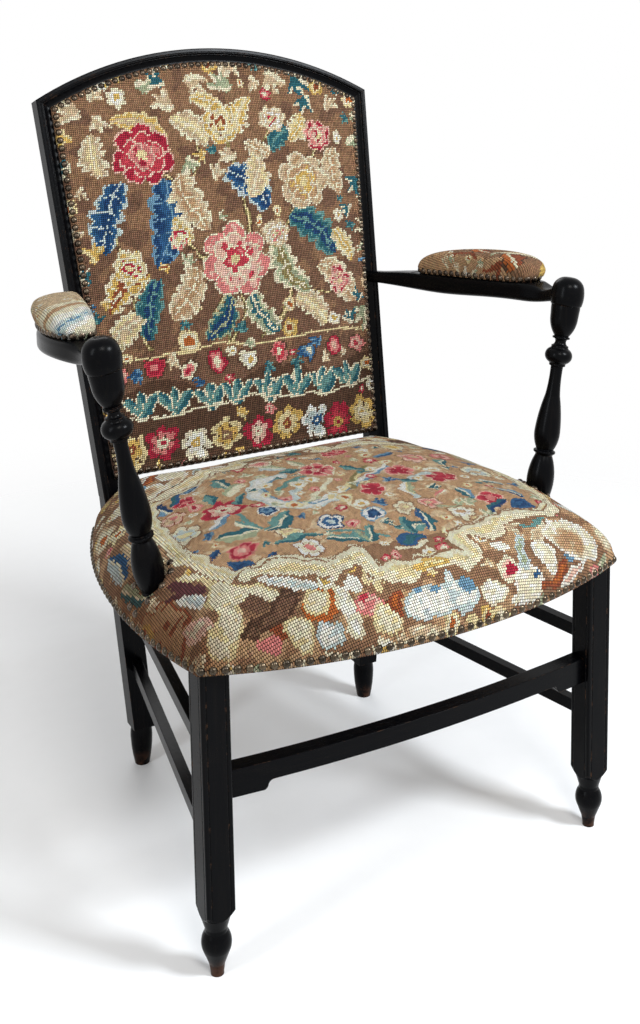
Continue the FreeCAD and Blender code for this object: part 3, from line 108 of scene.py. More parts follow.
# Stitches, nails and stuffing
SEAT_PITCH = 0.0033
BACK_PITCH = 0.0030
PAD_PITCH = 0.0023
NAIL_HEAD = 0.0046
NAIL_SEARCH = 0.018
NAIL_PRESS = 0.0004
NAIL_LIFT = 0.009
EDGE_TAPER = 0.05

# Cloths and straps
SHEET_STEP = 0.012
HESSIAN_THICKNESS = 0.0008
OUTSIDE_THICKNESS = 0.0012
STRAP_STEP = 0.0055
STRAP_LANES = 10
STRAP_THICKNESS = 0.0010
STRAP_WEAVE = 0.00075
STRAP_BEND = 0.022


# Shader sums

class Shade:
    """a shader socket that takes part in sums: each sum adds the node that works it out"""

    def __init__(self, tree, socket=None):
        self.tree = tree
        self.socket = socket

    def made(self, kind, settings=None, sockets=None, out=0):
        """output of a new node, given its settings first and then its socket values or links"""
        node = self.tree.nodes.new("ShaderNode" + kind)
        for name, value in (settings or {}).items():
            setattr(node, name, value)
        for key, value in (sockets or {}).items():
            if isinstance(value, Shade):
                self.tree.links.new(value.socket, node.inputs[key])
            else:
                node.inputs[key].default_value = value
        return Shade(self.tree, node.outputs[out])

    def sum(self, operation, first, second):
        pair = {0: first, 1: second}
        wide = [v for v in pair.values() if isinstance(v, tuple)
                or isinstance(v, Shade) and v.socket.type in ("VECTOR", "RGBA")]
        return self.made("VectorMath" if wide else "Math", {"operation": operation}, pair)

    def __add__(self, other):
        return self.sum("ADD", self, other)

    def __radd__(self, other):
        return self.sum("ADD", other, self)

    def __sub__(self, other):
        return self.sum("SUBTRACT", self, other)

    def __rsub__(self, other):
        return self.sum("SUBTRACT", other, self)

    def __mul__(self, other):
        return self.sum("MULTIPLY", self, other)

    def __rmul__(self, other):
        return self.sum("MULTIPLY", other, self)

    def __truediv__(self, other):
        return self.sum("DIVIDE", self, other)

    def dot(self, other):
        return self.made("VectorMath", {"operation": "DOT_PRODUCT"}, {0: self, 1: other}, "Value")

    def part(self, axis):
        return self.made("SeparateXYZ", {}, {0: self}, axis)

    def bent(self, operation, other=0.0):
        return self.made("Math", {"operation": operation}, {0: self, 1: other})

    def step(self, low, high):
        """0 up to low, 1 from high on, a smooth slope between them; a falling step has low above high"""
        if low > high:
            return 1 - self.step(high, low)
        return self.made("MapRange", {"interpolation_type": "SMOOTHSTEP"}, {"Value": self, 1: low, 2: high})

    def mixed(self, zero, one):
        """colour that goes from one to another as this value goes from 0 to 1"""
        zero, one = (c + (1.0,) if isinstance(c, tuple) else c for c in (zero, one))
        settings = {"data_type": "RGBA", "clamp_factor": True}
        return self.made("Mix", settings, {0: self, 6: zero, 7: one}, 2)

    def noise(self, scale, detail=3.0, rough=0.55):
        sockets = {"Vector": self, "Scale": scale, "Detail": detail, "Roughness": rough}
        return self.made("TexNoise", {}, sockets)


class Finish:
    """a material being mixed, with its one shader"""

    def __init__(self, name, **plain):
        self.material = bpy.data.materials.new(name)
        self.material.use_nodes = True
        self.tree = self.material.node_tree
        self.shader = self.tree.nodes["Principled BSDF"]
        for socket, value in plain.items():
            self.shader.inputs[socket.replace("_", " ")].default_value = value
        self.start = Shade(self.tree)

    def place(self):
        return self.start.made("TexCoord", out="Object")

    def flat(self, name):
        return self.start.made("UVMap", {"uv_map": name})

    def feed(self, **sockets):
        for name, shade in sockets.items():
            self.tree.links.new(shade.socket, self.shader.inputs[name.replace("_", " ")])

    def bump(self, height, depth, strength=1.0, over=None):
        sockets = {"Height": height, "Distance": depth, "Strength": strength}
        if over:
            sockets["Normal"] = over
        self.feed(Normal=self.start.made("Bump", {}, sockets))


def tone(red, green, blue):
    """linear colour of a shade named in the usual 0 to 255 steps"""
    share = [c / 255 for c in (red, green, blue)]
    return tuple(c / 12.92 if c <= 0.04045 else ((c + 0.055) / 1.055) ** 2.4 for c in share)


# Wood and metal

GRAIN = {"x": (0.05, 1.0, 1.0), "y": (1.0, 0.05, 1.0), "z": (1.0, 1.0, 0.05)}


def ebonised_wood(along):
    """black-stained, polished wood with its grain along one axis, brown where arrises and feet are rubbed"""
    finish = Finish(f"ebonised_wood_{along}", Specular_IOR_Level=0.06)
    place = finish.place()
    drawn = place * GRAIN[along]
    pores = drawn.noise(1500, 2)
    grain = drawn.noise(210, 4)
    mottle = place.noise(24, 4)
    rubs = place.noise(75, 6, 0.65)
    soft = finish.start.made("Bevel", {"samples": 6}, {"Radius": 0.0014})
    edge = 1 - soft.dot(finish.start.made("NewGeometry", out="Normal"))
    worn = edge.step(0.02, 0.16) * rubs.step(0.52, 0.68)
    tip = place.part("Z").step(0.03, 0.004) * (rubs * 0.6 + mottle * 0.4).step(0.42, 0.6) * 0.6
    stain = grain.step(0.45, 0.75).mixed((0.0012, 0.0013, 0.0018), (0.0028, 0.0025, 0.0026))
    stain = (mottle.step(0.55, 0.8) * 0.4).mixed(stain, (0.0048, 0.0038, 0.0034))
    colour = worn.mixed(stain, (0.098, 0.048, 0.024))
    colour = tip.mixed(colour, (0.085, 0.038, 0.022))
    dull = 0.19 + mottle * 0.12 + worn * 0.25 + pores.step(0.62, 0.8) * 0.12
    finish.feed(Base_Color=colour, Roughness=dull)
    height = grain * 0.4 - pores.step(0.58, 0.78) * 0.5 + place.noise(160, 3) * 0.4
    finish.bump(height, 0.0002, 0.22, soft)
    return finish.material


def frame_wood():
    """plain planed beech under the cover"""
    finish = Finish("frame_wood")
    place = finish.place()
    grain = (place * (0.12, 0.12, 1.0)).noise(170, 5)
    flecks = (place * (0.3, 0.3, 1.0)).noise(900, 2)
    age = place.noise(14, 4)
    colour = grain.step(0.3, 0.7).mixed(tone(178, 140, 98), tone(146, 106, 70))
    colour = (flecks.step(0.6, 0.7) * 0.5).mixed(colour, tone(112, 78, 50))
    colour = (age.step(0.4, 0.75) * 0.5).mixed(colour, tone(104, 76, 52))
    finish.feed(Base_Color=colour, Roughness=0.55 + age * 0.2)
    finish.bump(grain + flecks * 0.6, 0.0004, 0.4)
    return finish.material


def nail_brass(name, bright, dark):
    """antiqued nail heads, each its own shade, tarnished in patches"""
    finish = Finish(name, Metallic=0.9)
    place = finish.place()
    each = place.noise(46, 1)
    tarnish = place.noise(520, 4, 0.7)
    colour = (tarnish * 0.7 + each * 0.6).step(0.48, 0.9).mixed(dark, bright)
    finish.feed(Base_Color=colour, Roughness=0.15 + tarnish * 0.2)
    finish.bump(tarnish, 0.0003, 0.3)
    return finish.material


def screw_steel():
    """wood screws, rusted in patches"""
    finish = Finish("screw_steel", Metallic=1.0)
    place = finish.place()
    rust = place.noise(380, 4, 0.7)
    colour = rust.step(0.45, 0.7).mixed((0.34, 0.33, 0.31), (0.13, 0.075, 0.045))
    finish.feed(Base_Color=colour, Roughness=0.35 + rust * 0.3)
    finish.bump(rust, 0.0002, 0.4)
    return finish.material


# Cloth and wool

def needlework(name):
    """tent stitch in wool: a slanted lump in every mesh of the canvas, fuzzy, with painted shade towards the
    sides of each lump and between the stitches
    """
    finish = Finish(name, Sheen_Weight=0.04, Sheen_Roughness=0.6, Specular_IOR_Level=0.03)
    spot = finish.flat("stitch") - (0.5, 0.5, 0.0)
    rising = spot.part("X") + spot.part("Y")
    falling = spot.part("X") - spot.part("Y")
    spread = rising * rising * 0.62 + falling * falling * 1.5
    lump = (1 - spread * 1.75).bent("MAXIMUM", 0.0)
    place = finish.place()
    fuzz = place.noise(2600, 2, 0.7)
    # painted shade: each stitch's wool darkens towards its sides, to near black in the gaps between stitches
    shade = 0.05 + lump.step(0.06, 0.58) * 0.95
    wool = finish.start.made("Attribute", {"attribute_name": "wool"}, out="Color")
    finish.feed(Base_Color=wool * (shade * (0.86 + fuzz * 0.3)), Roughness=0.9 + fuzz * 0.1)
    finish.bump(lump * 0.85 + fuzz * 0.25, 0.0013, 0.9)
    return finish.material


def woven_cloth(name, thread, shadow, pitch, stripe=None):
    """plain weave: threads over and under each other, with slubs, uneven dye and painted shade between the
    threads
    """
    finish = Finish(name, Sheen_Weight=0.15, Specular_IOR_Level=0.2)
    flat = finish.flat("weave")
    place = finish.place()
    slub = place.noise(340, 3, 0.7)
    across = ((flat.part("X") / pitch + slub * 0.35) * math.pi).bent("SINE")
    along = ((flat.part("Y") / pitch + slub * 0.35) * math.pi).bent("SINE")
    over = across * along * 0.5 + 0.5
    thick = (across.bent("ABSOLUTE") + along.bent("ABSOLUTE")) * 0.5
    dirt = place.noise(9, 5, 0.6)
    # painted shade between the threads, where the weave is thin, in the shadow colour
    colour = (thick.step(0.15, 0.75) * (0.7 + slub * 0.3)).mixed(shadow, thread)
    if stripe:
        bands, dye = stripe
        wide = flat.part("X").bent("ABSOLUTE")
        mask = wide.step(bands[0] - 0.001, bands[0]) * wide.step(bands[1] + 0.001, bands[1])
        colour = (mask * 0.75).mixed(colour, dye)
    colour = (dirt.step(0.45, 0.75) * 0.45).mixed(colour, shadow)
    finish.feed(Base_Color=colour, Roughness=0.85 + slub * 0.15)
    finish.bump(thick * 0.6 + over * 0.4 + slub * 0.2, pitch * 0.3, 0.8)
    return finish.material


# The flat canvas of a stuffed piece, and the form that it is drawn over

def arc_points(start, middle, end, count=80):
    """points of the circle through three plan points, from the first to the last"""
    (ax, ay), (bx, by), (cx, cy) = start, middle, end
    twice = 2 * (ax * (by - cy) + bx * (cy - ay) + cx * (ay - by))
    aa, bb, cc = ax * ax + ay * ay, bx * bx + by * by, cx * cx + cy * cy
    x = (aa * (by - cy) + bb * (cy - ay) + cc * (ay - by)) / twice
    y = (aa * (cx - bx) + bb * (ax - cx) + cc * (bx - ax)) / twice
    turns = np.unwrap([math.atan2(p[1] - y, p[0] - x) for p in (start, middle, end)])
    angles = np.linspace(turns[0], turns[2], count)
    return np.stack([x + math.hypot(ax - x, ay - y) * np.cos(angles),
                     y + math.hypot(ax - x, ay - y) * np.sin(angles)], 1)


def line_points(start, end, count=80):
    return np.linspace(start, end, count)


def ramp(value, start, run):
    """0 up to a start, 1 from a run further on, straight between them"""
    return ((value - start) / run).clip(0, 1)


def crown_profile(fullness, count=64):
    """shares of the way out and of the rise, from the crown to the edge"""
    turn = np.linspace(math.pi / 2, 0, count)
    return np.cos(turn).clip(0) ** (2 / fullness), np.sin(turn).clip(0) ** (2 / fullness)


class Form:
    """a crowned form over an outline, with the flat canvas that covers it measured from its crown"""

    def __init__(self, outline, profile, height, origin, axes):
        turns = np.arctan2(outline[:, 1], outline[:, 0])
        order = np.argsort(turns)
        self.turns = turns[order]
        self.reaches = np.hypot(outline[:, 0], outline[:, 1])[order]
        self.share, self.rise = (np.asarray(p, float) for p in profile)
        self.height = height
        self.origin = np.array(origin)
        self.axes = np.array(axes)

    def reach(self, turn):
        return np.interp(turn, self.turns, self.reaches, period=2 * math.pi)

    def lengths(self, turn):
        """flat lengths from the crown to each step of the section, at each turn round the form"""
        wide = np.diff(self.share)[None] * self.reach(turn)[:, None]
        steps = np.hypot(wide, np.diff(self.rise)[None] * self.height)
        return np.concatenate([np.zeros((len(turn), 1)), np.cumsum(steps, axis=1)], axis=1)

    def edge_length(self, flat):
        return self.lengths(np.arctan2(flat[:, 1], flat[:, 0]))[:, -1]

    def at(self, turn, share, rise):
        out = share * self.reach(turn)
        high = np.broadcast_to(rise * self.height, out.shape)
        plane = np.stack([out * np.cos(turn), out * np.sin(turn), high], 1)
        return self.origin + plane @ self.axes

    def laid(self, flat):
        """places on the form of places on the flat canvas"""
        turn = np.arctan2(flat[:, 1], flat[:, 0])
        steps = self.lengths(turn)
        run = np.minimum(np.hypot(flat[:, 0], flat[:, 1]), steps[:, -1])
        after = np.clip((steps < run[:, None]).sum(1), 1, steps.shape[1] - 1)
        rows = np.arange(len(flat))
        low = steps[rows, after - 1]
        part = (run - low) / np.maximum(steps[rows, after] - low, 1e-9)
        share = self.share[after - 1] + part * (self.share[after] - self.share[after - 1])
        rise = self.rise[after - 1] + part * (self.rise[after] - self.rise[after - 1])
        return self.at(turn, share, rise)


class Canvas:
    """stitches on a flat canvas, one face each; the fine part has four stitches to a mesh"""

    def __init__(self, form, pitch, fine=None):
        half = pitch / 2
        most = int(form.reaches.max() * 1.5 / pitch) + 2
        grid = np.arange(-most, most)
        cells = np.stack(np.meshgrid(grid, grid, indexing="ij"), -1).reshape(-1, 2)
        middles = (cells + 0.5) * pitch
        inside = np.hypot(middles[:, 0], middles[:, 1]) < form.edge_length(middles) - 0.3 * pitch
        cells, middles = cells[inside], middles[inside]
        split = fine(middles) if fine else np.zeros(len(cells), bool)
        small = {(i, j) for i, j in cells[split].tolist()}
        corners, marks = [], []
        for (i, j), cut in zip((cells * 2).tolist(), split.tolist()):
            if cut:
                for a, b in ((0, 0), (1, 0), (1, 1), (0, 1)):
                    x, y = i + a, j + b
                    corners.append([(x, y), (x + 1, y), (x + 1, y + 1), (x, y + 1)])
                    marks.append([(0, 0), (1, 0), (1, 1), (0, 1)])
                continue
            ring = [(0, 0), (2, 0), (2, 2), (0, 2)]
            if small:
                sides = [((i // 2, j // 2 - 1), (1, 0)), ((i // 2 + 1, j // 2), (2, 1)),
                         ((i // 2, j // 2 + 1), (1, 2)), ((i // 2 - 1, j // 2), (0, 1))]
                ring = [spot for corner, (beside, middle) in zip(ring, sides)
                        for spot in ([corner, middle] if beside in small else [corner])]
            corners.append([(i + a, j + b) for a, b in ring])
            marks.append([(a / 2, b / 2) for a, b in ring])
        spots = {}
        self.faces = [[spots.setdefault(spot, len(spots)) for spot in face] for face in corners]
        self.marks = marks
        flat = np.array(list(spots), float) * half
        pairs = np.sort([pair for face in self.faces for pair in zip(face, face[1:] + face[:1])], axis=1)
        pairs, uses = np.unique(pairs, axis=0, return_counts=True)
        self.rim = np.unique(pairs[uses == 1])
        turn = np.arctan2(flat[self.rim, 1], flat[self.rim, 0])
        length = form.edge_length(flat[self.rim])
        flat[self.rim] = np.stack([length * np.cos(turn), length * np.sin(turn)], 1)
        self.flat = flat
        self.quads = np.array([[face[k * len(face) // 4] for k in range(4)] for face in self.faces])
        self.middles = flat[self.quads].mean(1)


def covered(name, form, canvas, points, wool, under=()):
    """closed padded piece: the stitched cover, turned in at its edge and closed underneath"""
    mesh = bpy.data.meshes.new(name)
    mesh.from_pydata(points.tolist(), [], canvas.faces)
    colours = mesh.attributes.new("wool", "FLOAT_COLOR", "CORNER")
    stitch = mesh.uv_layers.new(name="stitch")
    bake = mesh.uv_layers.new(name="OFBake")
    span = np.abs(canvas.flat).max() * 2.1
    ends = np.concatenate(canvas.faces)
    counts = [len(face) for face in canvas.faces]
    shades = np.ones((len(ends), 4))
    shades[:, :3] = np.repeat(wool, counts, axis=0)
    colours.data.foreach_set("color", shades.ravel().astype(np.float32))
    stitch.data.foreach_set("uv", np.concatenate([np.array(m, float) for m in canvas.marks]).ravel())
    bake.data.foreach_set("uv", (canvas.flat[ends] / span + 0.5).ravel())
    bm = bmesh.new()
    bm.from_mesh(mesh)
    bm.verts.ensure_lookup_table()
    turns = {int(v): math.atan2(canvas.flat[v][1], canvas.flat[v][0]) for v in canvas.rim}
    ring = [e for e in bm.edges if e.is_boundary]
    linked = {bm.verts[v]: turn for v, turn in turns.items()}
    for share, rise in under:
        grown = bmesh.ops.extrude_edge_only(bm, edges=ring)["geom"]
        fresh = [v for v in grown if isinstance(v, bmesh.types.BMVert)]
        for vert in fresh:
            near = [e.other_vert(vert) for e in vert.link_edges if e.other_vert(vert) in linked]
            linked[vert] = linked[near[0]]
            vert.co = form.at(np.array([linked[vert]]), share, rise)[0]
        ring = [e for e in grown if isinstance(e, bmesh.types.BMEdge) and e.is_boundary]
    bmesh.ops.holes_fill(bm, edges=ring, sides=0)
    bmesh.ops.recalc_face_normals(bm, faces=bm.faces)
    bm.to_mesh(mesh)
    bm.free()
    mesh.polygons.foreach_set("use_smooth", [True] * len(mesh.polygons))
    piece = bpy.data.objects.new(name, mesh)
    bpy.context.collection.objects.link(piece)
    return piece


def padded_cover(name, start, canvas, points, wool, finish, nodes, under=()):
    """finished cover of a stuffed piece, in place of the CAD's cover and stuffing"""
    piece = covered(name, start, canvas, points, wool, under)
    piece.data.materials.append(finish)
    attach(piece, "root")
    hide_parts(*nodes)


CLOTH = {"vertex_group_mass": "nailed", "quality": 6, "mass": 0.3, "tension_stiffness": 12,
         "compression_stiffness": 12, "shear_stiffness": 6, "bending_stiffness": 1.5, "air_damping": 4,
         "use_pressure": True}
CLOTH_FRAMES = 20


def swollen(form, pitch, pressure, most, held=None):
    """how far stuffing pushes a coarse copy of the cover out: lattice step, number of its middle, moves"""
    canvas = Canvas(form, pitch)
    edge = int(np.abs(canvas.flat).max() / pitch) + 3
    lattice = np.zeros((2 * edge + 1, 2 * edge + 1, 3))
    points = form.laid(canvas.flat)
    piece = covered("settling_cover", form, canvas, points, np.ones((len(canvas.faces), 3)))
    fixed = set(canvas.rim.tolist())
    if held:
        fixed |= set(np.flatnonzero(held(points)).tolist())
    stay = piece.vertex_groups.new(name="nailed")
    stay.add(sorted(fixed) + list(range(len(points), len(piece.data.vertices))), 1.0, "REPLACE")
    settings = piece.modifiers.new("settle", "CLOTH").settings
    for name, value in CLOTH.items():
        setattr(settings, name, value)
    settings.uniform_pressure_force = pressure
    settings.effector_weights.gravity = 0
    scene = bpy.context.scene
    for number in range(1, CLOTH_FRAMES + 1):
        scene.frame_set(number)
    shown = piece.evaluated_get(bpy.context.evaluated_depsgraph_get())
    moved = np.array([shown.data.vertices[i].co for i in range(len(points))])
    scene.frame_set(1)
    bpy.data.objects.remove(piece, do_unlink=True)
    shift = moved - points
    size = np.linalg.norm(shift, axis=1, keepdims=True)
    shift *= np.minimum(1, most / np.maximum(size, 1e-9))
    inner = np.setdiff1d(np.arange(len(points)), canvas.rim)
    where = np.round(canvas.flat[inner] / pitch).astype(int) + edge
    lattice[where[:, 0], where[:, 1]] = shift[inner]
    return pitch, edge, lattice


def swell_at(swell, flat):
    """moves of the settled cover at places on the canvas"""
    pitch, edge, lattice = swell
    spot = flat / pitch + edge
    low = np.floor(spot).astype(int)
    part = (spot - low)[:, :, None]
    i, j = low.T
    fx, fy = part[:, 0], part[:, 1]
    return (lattice[i, j] * (1 - fx) * (1 - fy) + lattice[i + 1, j] * fx * (1 - fy)
            + lattice[i, j + 1] * (1 - fx) * fy + lattice[i + 1, j + 1] * fx * fy)


# Wools, by their everyday names

WOOL = {
    "tan": (188, 150, 112), "fawn": (208, 182, 146), "cream": (233, 222, 190), "white": (240, 235, 220),
    "straw": (228, 208, 156), "gold": (212, 174, 96), "orange": (188, 104, 52), "rust": (146, 78, 50),
    "brown": (146, 110, 82), "dark": (122, 90, 70), "umber": (92, 66, 50), "plum": (96, 54, 56),
    "crimson": (172, 42, 62), "red": (198, 66, 78), "rose": (218, 130, 124), "pink": (232, 186, 166),
    "navy": (34, 66, 106), "blue": (48, 90, 130), "sky": (112, 150, 174), "pale": (194, 206, 202),
    "teal": (48, 100, 110), "sea": (104, 148, 142), "sage": (166, 174, 140), "olive": (142, 128, 82),
}

# small sprigs go by their number: flowers first, from outside to heart, then leaves, dark and light
FLOWER_SPRIGS = (("crimson", "rose", "cream"), ("cream", "white", "gold"), ("gold", "straw", "rust"),
                 ("rose", "pink", "crimson"), ("blue", "sky", "white"), ("straw", "cream", "orange"))
LEAF_SPRIGS = (("teal", "sea"), ("blue", "sky"), ("sage", "cream"), ("teal", "cream"), ("fawn", "cream"),
               ("gold", "straw"))


def smooth_path(points, steps=10):
    """points along a flowing line through a few given ones"""
    p = np.array([points[0]] + list(points) + [points[-1]], float)
    path = []
    for a, b, c, d in zip(p, p[1:], p[2:], p[3:]):
        for t in np.arange(steps) / steps:
            path.append(0.5 * (2 * b + (c - a) * t + (2 * a - 5 * b + 4 * c - d) * t * t
                               + (3 * b - a - 3 * c + d) * t ** 3))
    return np.array(path + [p[-1]])


def crossed(ring, u, v):
    """whether places lie inside a ring of points"""
    inside = np.zeros(np.shape(u), bool)
    for (ax, ay), (bx, by) in zip(ring, np.roll(ring, -1, axis=0)):
        if ay != by:
            inside ^= ((ay > v) != (by > v)) & (u < ax + (v - ay) * (bx - ax) / (by - ay))
    return inside


def off_line(spots, path):
    """how far places lie from a line of points"""
    best = np.full(len(spots), 1e9)
    for a, b in zip(path, path[1:]):
        run = b - a
        t = (((spots - a) @ run) / max(run @ run, 1e-9)).clip(0, 1)
        best = np.minimum(best, np.hypot(*(spots - a - t[:, None] * run).T))
    return best


class Chart:
    """a pattern worked stitch by stitch, drawn at (across, along) in millimetres by an uneven hand"""

    def __init__(self, spots, ground, seed):
        flat = np.column_stack([spots * 1000, np.zeros(len(spots))])
        jitter = chance.normal(0, 0.6, (2, len(spots)))
        self.u = flat[:, 0] + lumps(flat, 55, 3.6, seed) + jitter[0]
        self.v = flat[:, 1] + lumps(flat, 55, 3.6, seed + 1) + jitter[1]
        self.cloud = lumps(flat, 30, 1.0, seed + 2)
        self.wool = np.tile(tone(*WOOL[ground]), (len(spots), 1))
        self.taken = []

    def clouds(self, size, seed, depth=1.0):
        """slow drift over the whole chart, for changes of shade"""
        return lumps(np.column_stack([self.u, self.v, np.zeros(len(self.u))]), size, depth, seed)

    def lay(self, mask, wool):
        self.wool[mask] = tone(*WOOL[wool])

    def polar(self, middle):
        du, dv = self.u - middle[0], self.v - middle[1]
        return np.hypot(du, dv), np.arctan2(dv, du)

    def near(self, low, high):
        """numbers and places of the stitches in a box"""
        across = (self.u > low[0]) & (self.u < high[0])
        which = np.flatnonzero(across & (self.v > low[1]) & (self.v < high[1]))
        return which, np.stack([self.u[which], self.v[which]], 1)

    def patch(self, points, wool, rim=None, wide=4.2):
        """form with a flowing outline, its rim in another wool"""
        ring = smooth_path(list(points) + [points[0]], 5)[:-1]
        which, spots = self.near(ring.min(0), ring.max(0))
        inside = crossed(ring, *spots.T)
        self.lay(which[inside], wool)
        if rim:
            edge = off_line(spots, np.concatenate([ring, ring[:1]])) < wide
            self.lay(which[inside & (edge | (self.cloud[which] > 0.55))], rim)
        self.taken.append((*ring.mean(0), 0.4 * np.ptp(ring, axis=0).mean()))

    def along(self, base, tip, bend):
        """share of the way from base to tip, and distance to the side, along a bent line"""
        run = np.subtract(tip, base)
        length = math.hypot(*run)
        du, dv = self.u - base[0], self.v - base[1]
        t = (du * run[0] + dv * run[1]) / length ** 2
        inside = (t > 0) & (t < 1)
        t = t.clip(0, 1)
        self.taken.append((base[0] + run[0] / 2, base[1] + run[1] / 2, length * 0.4))
        return inside, t, (dv * run[0] - du * run[1]) / length - 4 * bend * t * (1 - t), length

    def leaf(self, base, tip, width, dark, light, bend=0.0, edge=None):
        """waved leaf, dark on one side of its midrib and light on the other"""
        inside, t, aside, length = self.along(base, tip, bend)
        half = width * 0.5 * (t ** 0.5 * (1 - t) ** 0.62 / 0.56) * (1 + 0.16 * np.sin(t * length * 0.4))
        if edge:
            self.lay(inside & (np.abs(aside) < half + 2.4), edge)
        self.lay(inside & (np.abs(aside) < half) & (aside >= 0), light)
        self.lay(inside & (np.abs(aside) < half) & (aside < 0), dark)
        if width > 19:
            rib = "straw" if light in ("cream", "white") else "cream"
            self.lay(inside & (np.abs(aside) < 1.6) & (t < 0.84), rib)

    def frond(self, base, tip, width, wools, bend=0.0, lobes=5):
        """great leaf with a lobed edge, shaded in bands from its rim to its midrib"""
        inside, t, aside, _ = self.along(base, tip, bend)
        swing = np.abs(np.sin(math.pi * lobes * t + (aside > 0) * 0.9))
        half = width * 0.5 * (t ** 0.45 * (1 - t) ** 0.5 / 0.62) * (0.62 + 0.38 * swing ** 0.7)
        depth = np.abs(aside) / np.maximum(half, 1e-6)
        for reach, wool in zip((1.0, 0.76, 0.4), wools):
            self.lay(inside & (depth < reach), wool)
        ribs = np.abs(np.sin(math.pi * lobes * (t - depth * 0.11))) < 0.17
        self.lay(inside & (depth < 0.8) & (ribs | (np.abs(aside) < 1.7)) & (t < 0.93), wools[0])

    def peony(self, middle, radius, wools, edge, turn=0.0):
        """full flower of three rounds of petals, each petal edged in one wool"""
        r, angle = self.polar(middle)
        for i, (size, petals) in enumerate(((1.0, 7), (0.7, 6), (0.42, 5))):
            swing = np.abs(np.sin(petals / 2 * (angle - turn - i)))
            lobe = radius * size * (0.76 + 0.24 * swing ** 0.6)
            self.lay(r < lobe, edge)
            self.lay((r < lobe - 3.2) & (swing > 0.14), wools[i])
            self.lay((r < lobe - radius * 0.12) & (swing > 0.5) & (self.cloud > 0.3), wools[(i + 1) % 3])
        self.lay(r < radius * 0.15, "straw")
        self.taken.append((middle[0], middle[1], radius))

    def blossom(self, middle, radius, petals, outer, inner, heart, turn=0.0, edge=None):
        """open flower: rounded petals, paler or darker inwards, round a heart"""
        r, angle = self.polar(middle)
        swing = np.abs(np.sin(petals / 2 * (angle - turn)))
        lobe = radius * (0.72 + 0.28 * swing ** 0.7)
        if edge:
            self.lay(r < lobe + 2.4, edge)
        self.lay(r < lobe, outer)
        self.lay(r < lobe * 0.7, inner)
        if edge and radius > 15:
            self.lay((swing < 0.15) & (r < lobe) & (r > radius * 0.36), edge)
        self.lay(r < radius * 0.34, heart)
        if radius > 22:
            self.lay(r < radius * 0.14, outer)
        self.taken.append((middle[0], middle[1], radius))

    def stem(self, points, width, wool):
        """line that flows through points"""
        path = smooth_path(points)
        which, spots = self.near(path.min(0) - width, path.max(0) + width)
        self.lay(which[off_line(spots, path) < width / 2], wool)

    def spray(self, middle, size, turn, kind):
        """small sprig: a flower of a few wools, or a fan of leaves"""
        if kind < len(FLOWER_SPRIGS):
            self.blossom(middle, size, 5 + kind % 2, *FLOWER_SPRIGS[kind], turn)
            return
        dark, light = LEAF_SPRIGS[kind - len(FLOWER_SPRIGS)]
        for spread in (-0.8, 0.0, 0.8):
            way = np.array([math.cos(turn + spread), math.sin(turn + spread)]) * size * 1.5
            self.leaf(np.subtract(middle, way * 0.4), np.add(middle, way), size * 0.85, dark, light)
        self.taken[-3:] = [(middle[0], middle[1], size)]

    def filled(self, count, sizes, kinds, ground, spare=3.0):
        """small sprigs sown in the ground that is still free"""
        for i in chance.choice(np.flatnonzero(ground), count):
            size = chance.uniform(*sizes)
            u, v = self.u[i], self.v[i]
            if any(math.hypot(u - a, v - b) < r + size + spare for a, b, r in self.taken):
                continue
            self.spray((u, v), size, chance.uniform(0, 2 * math.pi), int(chance.choice(kinds)))

    def worked(self, strength=0.085):
        """every stitch a little off its shade, as wool takes dye and light"""
        light = 1 + self.clouds(17, 4, 0.17)[:, None] + chance.normal(0, strength, (len(self.u), 1))
        tint = 1 + chance.normal(0, strength * 0.3, (len(self.u), 3))
        return (self.wool * light * tint).clip(0.004, 0.92)


# Seat

def seat_form():
    front_left = (-SEAT_FRONT_CORNER[0], SEAT_FRONT_CORNER[1])
    rear_left = (-SEAT_REAR_CORNER[0], SEAT_REAR_CORNER[1])
    right = arc_points(SEAT_FRONT_CORNER, SEAT_SIDE_MIDDLE, SEAT_REAR_CORNER)
    outline = np.concatenate([arc_points(front_left, SEAT_FRONT_MIDDLE, SEAT_FRONT_CORNER), right[1:],
                              line_points(SEAT_REAR_CORNER, rear_left)[1:], right[::-1][1:-1] * (-1, 1)])
    outline[:, 1] -= SEAT_MIDDLE_Y
    return Form(outline, smooth_path(SEAT_SECTION, 8).T, SEAT_CROWN, (0, SEAT_MIDDLE_Y, SEAT_EDGE_Z), np.eye(3))


# the seat's charts are in millimetres from its crown, across and along; the rear half repeats the front
SEAT_BORDER_MIDDLE = -35
SEAT_FIELD_MIDDLE = -28
SEAT_FIELD = [(-262, 20), (-258, -50), (-252, -105), (-236, -158), (-222, -166), (-200, -164),
              (-170, -168), (-148, -182), (-122, -198), (-100, -192), (-80, -190), (-76, -206),
              (-72, -226), (-48, -232), (-20, -232), (30, -234), (52, -240), (62, -228), (56, -206),
              (70, -196), (96, -194), (128, -186), (160, -180), (206, -182), (236, -164), (248, -120),
              (252, -60), (256, 20)]

